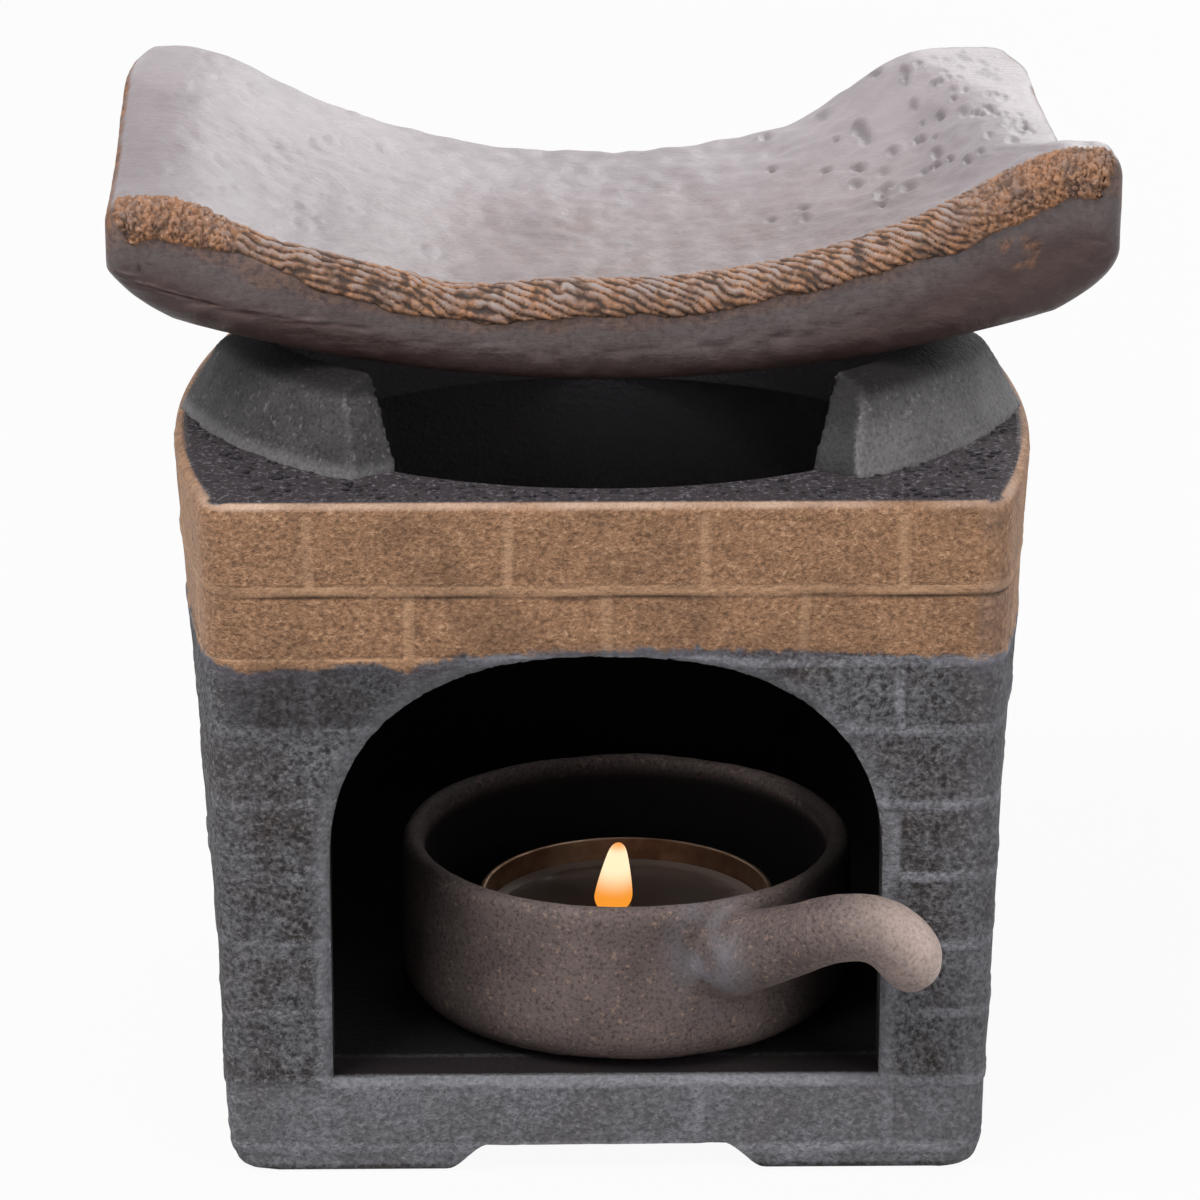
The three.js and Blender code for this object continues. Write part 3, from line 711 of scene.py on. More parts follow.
@dataclass(frozen=True)
class ThinMetal:
    """Pressed sheet metal, tarnished by heat in soft patches that are duller than the rest."""

    name: str
    bright: str
    tarnish: str
    patch: float
    roughness: float
    duller: float = 0.2

    def make(self) -> Material:
        """Makes the metal and its heat patches.

        Returns:
            The material.
        """
        material, add, place, _ = open_material(self.name)
        patches = add(Kind.NOISE, place, 2.0, 1.0 / self.patch, 3.0, 0.55)
        colour = add(Kind.BLEND, add(Kind.RANGE, patches, 0.35, 0.65), self.bright, self.tarnish)
        dull = self.roughness + self.duller
        rough = add(Kind.RANGE, patches, 0.3, 0.7, self.roughness, dull)
        inputs = {"Base Color": colour, "Roughness": rough, "Metallic": 1.0}
        add(Kind.SURFACE, add(Kind.SHADER, **inputs))
        return material


@dataclass(frozen=True)
class Paraffin:
    """Paraffin wax: a thin set ring at the wall, and clear, wet and dark where it has melted."""

    name: str = "paraffin_wax"
    set_wax: str = "#6b5f58"
    molten: str = "#4f4540"
    cloud: float = 5.0
    refraction: float = 1.43
    set_roughness: float = 0.5
    wet_roughness: float = 0.15

    def make(self) -> Material:
        """Makes the wax with its molten pool.

        Returns:
            The material.
        """
        material, add, place, mark = open_material(self.name, "pool")
        clouds = add(Kind.NOISE, place, 4.0, 1.0 / self.cloud, 2.0, 0.55)
        mist = add(Kind.RANGE, clouds, 0.3, 0.7, 0.7, 1.3)
        wet = add(Kind.RANGE, add(Kind.TIMES, mark["pool"], mist), 0.2, 0.7)
        inputs = {
            "Base Color": add(Kind.BLEND, wet, self.set_wax, self.molten),
            "Roughness": add(Kind.RANGE, wet, 0.0, 1.0, self.set_roughness, self.wet_roughness),
            "IOR": self.refraction,
        }
        add(Kind.SURFACE, add(Kind.SHADER, **inputs))
        return material


@dataclass(frozen=True)
class CottonWick:
    """Braided cotton, waxed below and charred black at its tip. The braid is a strand's width."""

    name: str = "cotton_wick"
    waxed: str = "#b3a07c"
    charred: str = "#141110"
    braid: float = 0.45
    relief: float = 0.16
    roughness: float = 0.9

    def make(self) -> Material:
        """Makes the braid and its char.

        Returns:
            The material.
        """
        material, add, place, mark = open_material(self.name, "burnt")
        strands = add(Kind.CELLS, place, 1.0 / self.braid)
        inputs = {
            "Base Color": add(Kind.BLEND, mark["burnt"], self.waxed, self.charred),
            "Normal": add(Kind.BUMP, Height=strands, Distance=self.relief * MM, Strength=1.0),
            "Roughness": self.roughness,
        }
        add(Kind.SURFACE, add(Kind.SHADER, **inputs))
        return material


@dataclass(frozen=True)
class CandleFlame:
    """Burning wax vapour: orange low down and at the very tip, yellow-white between."""

    name: str = "candle_flame"
    unlit: str = "#000000"
    low: str = "#ec9230"
    high: str = "#ffe6bd"
    strength: float = 1.15

    def make(self) -> Material:
        """Makes the glow, from the heat that the mesh carries.

        Returns:
            The material.
        """
        material, add, _, mark = open_material(self.name, "glow")
        inputs = {
            "Base Color": self.unlit,
            "Roughness": 1.0,
            "Specular IOR Level": 0.0,
            "Emission Strength": self.strength,
            "Emission Color": add(Kind.BLEND, mark["glow"], self.low, self.high),
        }
        add(Kind.SURFACE, add(Kind.SHADER, **inputs))
        return material


def skin(name: str, rings: Sequence[Array]) -> Object:
    """Skins a stack of closed rings of equally many points and closes both ends at a pole.

    Args:
        name: The object's name.
        rings: Rings in millimetres, counterclockwise seen from the side that the stack grows to.

    Returns:
        The closed mesh object.
    """
    count = len(rings[0])
    here = np.arange(count)
    onward = (here + 1) % count
    faces: list[Sequence[int]] = []
    for level in range(len(rings) - 1):
        base = level * count
        quads = np.stack(
            [base + here, base + onward, base + count + onward, base + count + here], axis=1
        )
        faces.extend(quads.tolist())
    last = (len(rings) - 1) * count
    low = len(rings) * count
    high = low + 1
    faces.extend(np.stack([np.full(count, low), onward, here], axis=1).tolist())
    faces.extend(np.stack([np.full(count, high), last + here, last + onward], axis=1).tolist())
    poles = [rings[0].mean(axis=0), rings[-1].mean(axis=0)]
    return new_object(name, np.vstack([*rings, *poles]), faces)


def around(count: int) -> Array:
    """Spaces angles evenly round a whole turn."""
    return np.arange(count) * 2.0 * math.pi / count


def circle(angles: Array) -> Array:
    """Gives the points of a level circle of radius 1 at angles, one row each."""
    return np.stack([np.cos(angles), np.sin(angles), np.zeros(len(angles))], axis=1)


def turned(name: str, profile: Sequence[tuple[float, float]], centre: Array, steps: int) -> Object:
    """Turns a profile of radius and height pairs about an upright axis, from foot to top."""
    unit = circle(around(steps))
    return skin(name, [centre + radius * unit + [0.0, 0.0, z] for radius, z in profile])


def bezier(points: Sequence[tuple[float, float]], count: int) -> Array:
    """Draws a Bezier curve of any degree.

    Args:
        points: Its control points.
        count: How many points to draw.

    Returns:
        The drawn points, one row each.
    """
    share = np.linspace(0.0, 1.0, count)[:, None]
    layer = [np.tile(np.array(p, float), (count, 1)) for p in points]
    while len(layer) > 1:
        layer = [a + (b - a) * share for a, b in zip(layer, layer[1:])]
    return layer[0]


def evenly(line: Array, count: int) -> Array:
    """Spaces points evenly along a line.

    Args:
        line: The line's points, one row each.
        count: How many points to place.

    Returns:
        The placed points.
    """
    steps = np.linalg.norm(np.diff(line, axis=0), axis=1)
    run = np.concatenate([[0.0], np.cumsum(steps)])
    marks = np.linspace(0.0, run[-1], count)
    return np.stack([np.interp(marks, run, line[:, axis]) for axis in range(line.shape[1])], axis=1)


def prism(name: str, outline: Array, near: float, far: float) -> Object:
    """Draws an outline of X and Z out along Y, as a tool to cut with.

    Args:
        name: The object's name.
        outline: X and Z pairs in millimetres, counterclockwise seen from the near end.
        near: Y of the near end.
        far: Y of the far end.

    Returns:
        The closed mesh object.
    """
    count = len(outline)
    ends = [np.insert(outline, 1, y, axis=1) for y in (near, far)]
    here = np.arange(count)
    onward = (here + 1) % count
    sides = np.stack([here, here + count, onward + count, onward], axis=1).tolist()
    faces = [*sides, list(range(count)), list(range(2 * count - 1, count - 1, -1))]
    return new_object(name, np.vstack(ends), faces)


def carve(piece: Object, tools: Sequence[Object]) -> None:
    """Cuts tools out of a piece and removes the tools.

    Args:
        piece: The piece.
        tools: Closed objects of the shapes to cut out.
    """
    for tool in tools:
        modifier = piece.modifiers.new(tool.name, "BOOLEAN")
        modifier.operation = "DIFFERENCE"
        modifier.solver = "EXACT"
        modifier.object = tool
    settle(piece)
    for tool in tools:
        bpy.data.objects.remove(tool)


def convexity(piece: Object) -> Array:
    """Measures how far each point stands out from its neighbours.

    Args:
        piece: The piece.

    Returns:
        For each point, its mean height over its neighbours as a share of their distance.
    """
    at, facing = places(piece), outward(piece)
    pairs = np.zeros(len(piece.data.edges) * 2, np.int32)
    piece.data.edges.foreach_get("vertices", pairs)
    first, second = pairs.reshape(-1, 2).T
    step = at[second] - at[first]
    length = np.maximum(np.linalg.norm(step, axis=1), TINY)
    stand, count = np.zeros(len(at)), np.zeros(len(at))
    for here, sign in ((first, -1.0), (second, 1.0)):
        np.add.at(stand, here, sign * (facing[here] * step).sum(axis=1) / length)
        np.add.at(count, here, 1.0)
    return stand / np.maximum(count, 1.0)


def copy_of(node: Object, name: str) -> Object:
    """Copies a CAD node's mesh into a new object and joins its loose triangles.

    Args:
        node: The CAD node.
        name: The new object's name.

    Returns:
        The new object.
    """
    made = bpy.data.objects.new(name, node.data.copy())
    bpy.context.scene.collection.objects.link(made)
    shape = bmesh.new()
    shape.from_mesh(made.data)
    bmesh.ops.remove_doubles(shape, verts=shape.verts, dist=WELD * MM)
    shape.to_mesh(made.data)
    shape.free()
    return made


def knead(piece: Object, voxel: float, passes: int) -> None:
    """Makes a piece one even skin with softened edges, as hand-smoothed clay.

    Args:
        piece: The closed piece, or several that overlap in one mesh.
        voxel: Width of the new faces in millimetres.
        passes: How often the skin is smoothed.
    """
    remesh = piece.modifiers.new("even_skin", "REMESH")
    remesh.mode = "VOXEL"
    remesh.voxel_size = voxel * MM
    soften = piece.modifiers.new("soft_edges", "SMOOTH")
    soften.factor = 0.5
    soften.iterations = passes
    settle(piece)


def open_tree(name: str, inputs: dict[str, str]) -> tuple[GeometryNodeTree, Adder, NodeOutputs]:
    """Starts a geometry tree.

    Args:
        name: The tree's name.
        inputs: The socket type of each named input, besides the geometry and the finish.

    Returns:
        The tree, what adds a node to it, and its inputs as sockets by name.
    """
    tree = bpy.data.node_groups.new(name, "GeometryNodeTree")
    sockets = {"Geometry": "NodeSocketGeometry"} | inputs | {"Finish": "NodeSocketMaterial"}
    for label, kind in sockets.items():
        tree.interface.new_socket(label, in_out="INPUT", socket_type=kind)
    tree.interface.new_socket("Geometry", in_out="OUTPUT", socket_type="NodeSocketGeometry")
    add = partial(add_node, tree)
    return tree, add, add(Kind.GIVEN).outputs


def close_tree(add: Adder, shape: Node, finish: NodeSocket) -> None:
    """Ends a geometry tree: its shape is made real, shaded smooth and given its finish."""
    soft = add(Kind.SMOOTH, add(Kind.REALIZE, shape))
    add(Kind.MADE, add(Kind.DRESS, soft, Material=finish))


@dataclass
class Stove:
    """The box stove: brick walls with a bronze band, an arched door, a dark deck and four feet."""

    deck_height: float = 87.5
    width_top: float = 96.4
    width_bottom: float = 93.8
    depth: float = 111.0
    back_taper: float = 18.6
    bulge_top: float = 10.2
    bulge_bottom: float = 4.5
    foot_tuck: float = 2.0
    tuck_height: float = 6.0
    corner: float = 3.5
    corner_steps: int = 8
    edge: float = 1.4
    wall: float = 7.0
    floor_top: float = 12.5
    roof: float = 73.5
    hole: float = 48.4
    hole_lip: float = 0.6
    door_width: float = 68.0
    door_spring: float = 40.0
    door_top: float = 68.0
    door_squareness: float = 2.4
    door_round: float = 1.3
    door_step: float = 0.4
    sill_edge: float = 2.2
    foot_height: float = 3.8
    foot_gap: float = 30.0
    foot_slope: float = 5.0
    joints: tuple[float, ...] = (76.7, 67.5, 58.5, 49.0, 39.5, 30.4, 21.3, 12.2, 3.1)
    joint_lines: tuple[float, ...] = (-1.7, -1.2, -0.9, -0.55, -0.2, 0.2, 0.55, 0.9, 1.2, 1.7)
    coarse_step: float = 1.35
    brick: float = 24.0
    joint_half: float = 0.42
    joint_shoulder: float = 0.5
    joint_rise: float = 0.22
    joint_sway: float = 0.35
    groove_depth: float = 0.26
    groove_half: float = 0.3
    grain_rise: float = 0.14
    swell_rise: float = 0.3
    left_wear: float = 0.35
    wash_knots: tuple[float, ...] = (-48.0, -44.0, -35.0, -30.0, -24.0, -21.0, -3.0, 10.0, 36.0, 48.0)
    wash_edge: tuple[float, ...] = (67.9, 66.5, 66.6, 67.8, 66.3, 67.9, 68.8, 69.1, 68.4, 67.8)
    wash_span: float = 6.0
    wash_wander: float = 1.1
    deck_rise: float = 0.3
    deck_grain: float = 0.2
    grit_margin: float = 1.2
    grit_density: float = 0.3
    grit_radius: float = 0.42
    grit_seed: int = 4
    grit_least: Triple = (0.4, 0.4, 0.3)
    grit_most: Triple = (1.6, 1.1, 0.7)
    touch: float = 0.02

    def __post_init__(self) -> None:
        """Finds the stove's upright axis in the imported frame."""
        self.centre = axis_of("stove_body")

    def half_width(self, height: Array, y: Array) -> Array:
        """Gives half the width between the two front corners or the two back ones.

        Args:
            height: Heights above the table.
            y: Depths, which tell the front from the back.

        Returns:
            Half the width for each.
        """
        share = np.clip(height / self.deck_height, 0.0, 1.0)
        low = np.clip(1.0 - height / self.tuck_height, 0.0, 1.0)
        tuck = self.foot_tuck * (1.0 - np.sqrt(1.0 - low**2))
        front = (self.width_bottom + (self.width_top - self.width_bottom) * share) / 2 - tuck
        return np.where(y < 0.0, front, front - self.back_taper / 2)

    def side_at(self, height: Array, y: Array, inset: float) -> Array:
        """Gives how far out the swelling side stands.

        Args:
            height: Heights above the table.
            y: Depths from the axis.
            inset: How far inside the wall's face the measure is taken.

        Returns:
            The distance from the axis for each.
        """
        share = np.clip(height / self.deck_height, 0.0, 1.0)
        bulge = self.bulge_bottom + (self.bulge_top - self.bulge_bottom) * share
        along = y / (self.depth / 2 - inset)
        drawn_in = self.back_taper / 2 * (along + 1.0) / 2
        return self.half_width(height, np.array(-1.0)) - inset - drawn_in + bulge * (1.0 - along**2)

    def sunk(self, at: Array) -> Array:
        """Measures how far points about the axis lie inside the wall's outer face."""
        x, y, z = at.T
        return np.minimum(self.depth / 2 - np.abs(y), self.side_at(z, y, 0.0) - np.abs(x))

    def lines(self, low: float, high: float, marks: Array) -> Array:
        """Spaces grid lines closely at the joints and widely between them.

        Args:
            low: The first line.
            high: The last line.
            marks: Where the joints are.

        Returns:
            The lines in rising order.
        """
        offsets = np.array(self.joint_lines)
        least = offsets[offsets > 0.0].min()
        fine = (marks[:, None] + offsets[None, :]).ravel()
        fine = fine[(fine > low + least) & (fine < high - least)]
        count = max(2, int((high - low) / self.coarse_step))
        wide = np.linspace(low, high, count)[1:-1]
        nearest = np.abs(wide[:, None] - fine[None, :]).min(axis=1)
        wide = wide[nearest > self.coarse_step / 2]
        return np.sort(np.concatenate([[low, high], fine, wide]))

    def plan(self, height: float, inset: float) -> Array:
        """Draws the stove's outline at a height, counterclockwise from its front left corner.

        Args:
            height: The ring's height.
            inset: How far the ring lies inside the wall's face.

        Returns:
            The ring's points about the stove's axis.
        """
        reach = self.depth / 2 - inset
        straight = reach - self.corner
        halves = self.half_width(np.full(2, height), np.array([-1.0, 1.0])) - inset
        front_top = self.width_top / 2 - self.corner
        side_top = self.depth / 2 - self.corner
        most = int(side_top / (self.brick / 2))
        brick_marks = np.arange(-most, most + 1) * self.brick / 2
        across = self.lines(-front_top, front_top, brick_marks) / front_top
        along = self.lines(-side_top, side_top, brick_marks) / side_top
        right_y = along * straight
        right = np.stack([self.side_at(np.array(height), right_y, inset), right_y], axis=1)
        ends = []
        turns = []
        for half, y, last in ((halves[0], -reach, right[0]), (halves[1], reach, right[-1])):
            end = np.stack([across * (half - self.corner), np.full(len(across), y)], axis=1)
            ends.append(end)
            turns.append(bezier([end[-1], (half, y), last], self.corner_steps)[1:-1])
        flank = np.vstack([turns[0], right, turns[1][::-1]])
        ring = np.vstack([ends[0], flank, ends[1][::-1], flank[::-1] * [-1.0, 1.0]])
        return np.column_stack([ring, np.full(len(ring), height)])

    def rings(self) -> list[Array]:
        """Draws the whole skin.

        Returns:
            Its rings: up the wall, over the deck, down the hole and round the chamber.
        """
        edge_turns = np.linspace(0.0, math.pi / 2, 5)
        foot = [
            self.plan(self.edge * (1 - math.cos(t)), self.edge * (1 - math.sin(t)))
            for t in edge_turns[:-1]
        ]
        wall_lines = self.lines(self.edge, self.deck_height - self.edge, np.array(self.joints))
        wall = [self.plan(z, 0.0) for z in wall_lines]
        brow = [
            self.plan(self.deck_height - self.edge * (1 - math.sin(t)), self.edge * (1 - math.cos(t)))
            for t in edge_turns[1:]
        ]
        outer = brow[-1]
        unit = circle(np.arctan2(outer[:, 1], outer[:, 0]))
        lip = unit * (self.hole + self.hole_lip) + [0.0, 0.0, self.deck_height]
        deck = [outer + (lip - outer) * share for share in np.linspace(0.0, 1.0, 14)[1:]]
        drops = (self.deck_height - self.hole_lip, self.deck_height - 4.0, self.roof)
        throat = [unit * self.hole + [0.0, 0.0, z] for z in drops]
        chamber = [self.plan(z, self.wall) for z in np.linspace(self.roof, self.floor_top, 9)]
        floor = self.plan(self.floor_top, self.wall + 1.5)
        return [*foot, *wall, *brow, *deck, *throat, *chamber, floor]

    def arch(self, count: int) -> Array:
        """Draws the door's outline from its right foot over the arch to its left foot.

        Args:
            count: How many points the arch has.

        Returns:
            X and Z pairs.
        """
        half = self.door_width / 2
        rise = self.door_top - self.door_spring
        angle = np.linspace(0.0, math.pi, count)
        power = 2.0 / self.door_squareness
        across = np.sign(np.cos(angle)) * np.abs(np.cos(angle)) ** power
        up = np.abs(np.sin(angle)) ** power
        curve = np.stack([half * across, self.door_spring + rise * up], axis=1)
        sill = self.floor_top + 0.05
        return np.vstack([[half, sill], curve, [-half, sill]])

    def cutters(self) -> list[Object]:
        """Makes the tools that cut the door and the recesses between the feet.

        Returns:
            The tools about the stove's axis.
        """
        reach = self.depth / 2
        door = prism("door_tool", self.arch(80), -reach - self.wall, -reach + 1.9 * self.wall)
        half = self.foot_gap / 2
        climb = np.linspace(0.0, 1.0, 10)
        ramp_x = half + self.foot_slope * (1.0 - climb)
        ramp = np.stack([ramp_x, self.foot_height * ease(-0.12, 1.08, climb)], axis=1)
        flank = np.vstack([[half + self.foot_slope, -self.foot_height], ramp])
        outline = np.vstack([flank, flank[::-1] * [-1.0, 1.0]])
        front = prism("front_recess_tool", outline, -reach - self.wall, reach + self.wall)
        side = prism("side_recess_tool", outline, -reach - self.wall, reach + self.wall)
        side.data.transform(Matrix.Rotation(math.pi / 2, 4, "Z"))
        return [door, front, side]

    def zones(self, at: Array) -> tuple[Array, Array, Array]:
        """Finds which points lie on the outer wall.

        Args:
            at: Points about the stove's axis.

        Returns:
            Whether each lies on the wall, whether it lies on an upright corner, and its outward direction.
        """
        x, y, z = at.T
        reach = self.depth / 2
        straight = reach - self.corner
        end_half = self.half_width(z, y) - self.corner
        on_end = np.abs(np.abs(y) - reach) < self.touch
        side_gap = np.abs(np.abs(x) - self.side_at(z, y, 0.0))
        on_side = (side_gap < self.touch) & (np.abs(y) < straight + self.touch)
        past_side = np.abs(x) > end_half + self.touch / 2
        on_corner = past_side & (np.abs(y) > straight + self.touch / 2)
        away = np.zeros_like(at)
        away[on_end, 1] = np.sign(y[on_end])
        away[on_side, 0] = np.sign(x[on_side])
        round_x = np.sign(x) * np.maximum(np.abs(x) - end_half, 0.0)
        round_y = np.sign(y) * np.maximum(np.abs(y) - straight, 0.0)
        length = np.maximum(np.hypot(round_x, round_y), TINY)
        away[on_corner, 0] = (round_x / length)[on_corner]
        away[on_corner, 1] = (round_y / length)[on_corner]
        return on_end | on_side | on_corner, on_corner, away

    def courses(self, at: Array, on_corner: Array) -> tuple[Array, Array, Array]:
        """Lays out the joints of the running bond on the wall.

        Args:
            at: Points about the stove's axis.
            on_corner: Whether each lies on an upright corner, where only the level joints run.

        Returns:
            The level joints, the upright joints and the groove beside them that is darkened as a painted
            shadow, each from 0 to 1.
        """
        x, y, z = at.T
        marks = np.array(self.joints)
        sway = self.joint_sway * clay_noise(at, 9.0, 4.0)
        nearest = np.abs(z[:, None] - marks[None, :]).argmin(axis=1)
        rise = z - marks[nearest] + sway
        reach = self.joint_half + self.joint_shoulder
        level = ease(reach, self.joint_half, np.abs(rise))
        banded = marks[nearest] > self.door_top
        # Beside each level joint a shallow groove carries a painted shadow, above the joint in the wash and
        # below it elsewhere
        beside = np.where(banded, rise + reach, rise - reach)
        groove_and_shadow = np.where(banded, 1.0, 0.5) * np.exp(-((beside / self.groove_half) ** 2))
        course = (z[:, None] < marks[None, :]).sum(axis=1)
        shift = np.where(course % 2 == 0, self.brick / 2, 0.0)
        on_end = np.abs(y) > self.depth / 2 - 0.05
        front_top = self.width_top / 2 - self.corner
        lean = front_top / (self.half_width(z, y) - self.corner)
        along = np.where(on_end, x * lean, y)
        aside = (along - shift + self.brick / 2) % self.brick - self.brick / 2 + sway
        upright = ease(reach, self.joint_half, np.abs(aside)) * ~on_corner
        # A fainter painted shadow runs along one side of each upright joint
        faint = np.where(z > self.door_top, 0.4, 0.5) * ~on_corner
        groove_and_shadow = np.maximum(groove_and_shadow, faint * np.exp(-(((aside - reach) / self.groove_half) ** 2)))
        return level, upright, groove_and_shadow

    def door_gap(self, at: Array) -> Array:
        """Measures how far points of the front lie from the door's edge.

        Args:
            at: Points of the front, about the stove's axis.

        Returns:
            The distance of each.
        """
        corners = self.arch(120)
        corners = np.vstack([corners, corners[:1]])
        steps = np.hypot(*np.diff(corners, axis=0).T)
        run = np.concatenate([[0.0], np.cumsum(steps)])
        marks = np.arange(0.0, run[-1], self.door_step)
        line = np.stack([np.interp(marks, run, corners[:, axis]) for axis in (0, 1)], axis=1)
        gaps = at[:, None, [0, 2]] - line[None, :, :]
        return np.sqrt((gaps**2).sum(axis=2).min(axis=1))

    def above_wash(self, at: Array) -> Array:
        """Measures how far points stand above the bronze wash's lower edge.

        Args:
            at: Points about the stove's axis.

        Returns:
            The height of each over the edge, up to a few millimetres.
        """
        x, y, z = at.T
        in_front = np.interp(x, self.wash_knots, self.wash_edge)
        wander = self.wash_wander * clay_noise(at * [1.0, 1.0, 0.2], 11.0, 5.0)
        around_it = self.wash_edge[0] + wander
        share = ease(1.0 - self.depth / 2, 8.0 - self.depth / 2, y)
        above = z - in_front - (around_it - in_front) * share
        above = np.clip(above, -self.wash_span, self.wash_span)
        return np.where(self.sunk(at) < self.edge + 0.1, above, -self.wash_span)

    def work_wall(self, at: Array) -> tuple[Array, dict[str, Array]]:
        """Presses the joints into the wall, roughens it and softens the door's edge.

        Args:
            at: Points about the stove's axis.

        Returns:
            The moved points, and the marks for the material.
        """
        x, y, z = at.T
        on_wall, on_corner, away = self.zones(at)
        level, upright, groove_and_shadow = self.courses(at, on_corner)
        patchy = 0.75 + 0.5 * clay_noise(at, 6.0, 2.0)
        clear = np.where(z > self.door_top, 1.0, 0.35 + 0.65 * ease(-30.0, 25.0, x)) * patchy
        upright = 0.9 * upright
        joint = np.clip(np.maximum(level, upright) * clear, 0.0, 1.0) * on_wall
        rise = self.joint_rise * np.maximum(level, 0.7 * upright) * patchy
        rise -= self.groove_depth * groove_and_shadow * patchy
        rise += self.grain_rise * clay_noise(at, 2.4, 8.0) + self.swell_rise * clay_noise(at, 15.0, 6.0)
        moved = at + away * (rise * on_wall)[:, None]
        front = np.flatnonzero(on_wall & (y < self.touch - self.depth / 2))
        gap = np.minimum(self.door_gap(at[front]), self.wall)
        short = self.door_round - np.minimum(gap, self.door_round)
        moved[front, 1] += self.door_round - np.sqrt(self.door_round**2 - short**2)
        corner_gap = np.maximum(self.half_width(z, y) - self.corner - np.abs(x), 0.0)
        wear_and_highlight = np.where(on_corner, 0.8, 0.5 * ease(3.0, 0.0, corner_gap)) * patchy
        wear_and_highlight *= np.where(x < 0.0, self.left_wear, 1.0)
        wear_and_highlight = np.maximum(wear_and_highlight, 0.7 * ease(13.0, 11.5, z)) * on_wall
        wear_and_highlight[front] = np.maximum(wear_and_highlight[front], 0.85 * ease(2.6, 0.8, gap))
        # The course under the wash is darker on the left of the front
        dim = 0.5 * ease(57.0, 60.0, z) * ease(-8.0, -24.0, x) * (y < 0.5 - self.depth / 2)
        marks = {
            "joint": joint,
            "wear_and_highlight": np.clip(wear_and_highlight, 0.0, 1.0),
            "groove_and_shadow": np.clip(groove_and_shadow * clear, 0.0, 1.0) * on_wall,
            "wash": self.above_wash(at),
            "dim": dim * on_wall,
        }
        return moved, marks

    def work_deck(self, at: Array, moved: Array) -> dict[str, Array]:
        """Roughens the deck and marks the deck, the painted highlight on its edge, the painted light in the
        throat, the soot and painted shade inside, and the painted shade on the sill.

        Args:
            at: Points about the stove's axis, before the wall was worked.
            moved: The same points after it, which are moved further here.

        Returns:
            The marks for the material.
        """
        x, y, z = at.T
        sunk = self.sunk(at)
        radius = np.hypot(x, y)
        top = z > self.deck_height - 0.3
        deck = (top & (sunk > self.edge - 0.1)).astype(float)
        open_deck = deck * (radius > self.hole + 0.7) * (sunk > self.edge + 0.3)
        rise = self.deck_rise * clay_noise(at, 3.2, 1.0) + self.deck_grain * clay_noise(at, 1.4, 5.0)
        moved[:, 2] += open_deck * rise
        brow = (z > self.deck_height - 0.7) & (sunk < self.edge + self.touch) & (deck < 0.5)
        in_front = ease(-40.0, -54.0, y)
        # A painted highlight along the deck's front edge
        edge = brow * np.clip(0.5 + 0.7 * clay_noise(at, 7.0, 3.0), 0.0, 1.0) * in_front
        inside = (z > self.floor_top - 0.2) & ~top
        # Soot and painted shade in the chamber; the upper throat is painted paler as painted light
        soot_and_painted_shade = inside * ease(0.3, 3.0, sunk) * ease(self.deck_height - 0.3, self.deck_height - 3.0, z)
        throat = soot_and_painted_shade * ease(46.0, 62.0, z)
        # The sill is darkened as painted shade behind its front edge
        on_sill = (np.abs(z - self.floor_top) < 0.2) & (y < self.wall + 0.5 - self.depth / 2)
        sill = on_sill * ease(0.6, self.sill_edge - 0.1, sunk)
        soot_and_painted_shade = (soot_and_painted_shade - throat) * ~on_sill
        return {"deck": deck, "edge": edge, "throat": throat, "soot_and_painted_shade": soot_and_painted_shade, "sill": sill}

    def build(self, finish: Material) -> None:
        """Builds the stove's body with a line along the sill's edge, works its clay and dresses it.

        Args:
            finish: The stove's material.
        """
        piece = skin("brick_stove", self.rings())
        carve(piece, self.cutters())
        shape = bmesh.new()
        shape.from_mesh(piece.data)
        bmesh.ops.bisect_plane(
            shape,
            geom=[*shape.verts, *shape.edges, *shape.faces],
            plane_co=(0.0, (self.sill_edge - self.depth / 2) * MM, 0.0),
            plane_no=(0.0, 1.0, 0.0),
        )
        shape.to_mesh(piece.data)
        shape.free()
        at = places(piece)
        moved, marks = self.work_wall(at)
        marks.update(self.work_deck(at, moved))
        put(piece, moved + self.centre)
        note(piece, marks)
        smooth(piece, 50.0)
        dress(piece, finish, Body.STOVE, "charcoal_stoneware", "stove_body")

    def strew(self, finish: Material) -> None:
        """Strews coarse grit over the deck, as it was left when the clay was sanded.

        Args:
            finish: The grit's material.
        """
        outer = self.plan(self.deck_height, self.edge + self.grit_margin)
        unit = circle(np.arctan2(outer[:, 1], outer[:, 0]))
        inner = unit * (self.hole + self.grit_margin) + [0.0, 0.0, self.deck_height]
        count = len(outer)
        here = np.arange(count)
        onward = (here + 1) % count
        quads = np.stack([here, onward, onward + count, here + count], axis=1)
        grit = new_object("deck_grit", np.vstack([outer, inner]) + self.centre, quads)
        sizes = {
            "Density": self.grit_density / MM**2,
            "Grain Radius": self.grit_radius * MM,
            "Seed": self.grit_seed,
            "Finish": finish,
        }
        grow(grit, self.grit_tree(), sizes)
        dress(grit, finish, Body.STOVE, "charcoal_stoneware")

    def grit_tree(self) -> GeometryNodeTree:
        """Builds the tree that strews small flattened lumps over a surface.

        Returns:
            The tree, with inputs for its density, grain radius, seed and finish.
        """
        kinds = {"Density": "NodeSocketFloat", "Grain Radius": "NodeSocketFloat", "Seed": "NodeSocketInt"}
        tree, add, given = open_tree("clay_grit", kinds)
        seed = given["Seed"]
        spots = add(Kind.SCATTER, given["Geometry"], Density=given["Density"], Seed=seed)
        lump = add(Kind.LUMP, given["Grain Radius"], 1)
        sizes = add(Kind.CHANCE, self.grit_least, self.grit_most, Seed=seed)
        turns = spots.outputs["Rotation"]
        strewn = add(Kind.COPIES, spots, Instance=lump, Rotation=turns, Scale=sizes)
        close_tree(add, strewn, given["Finish"])
        return tree


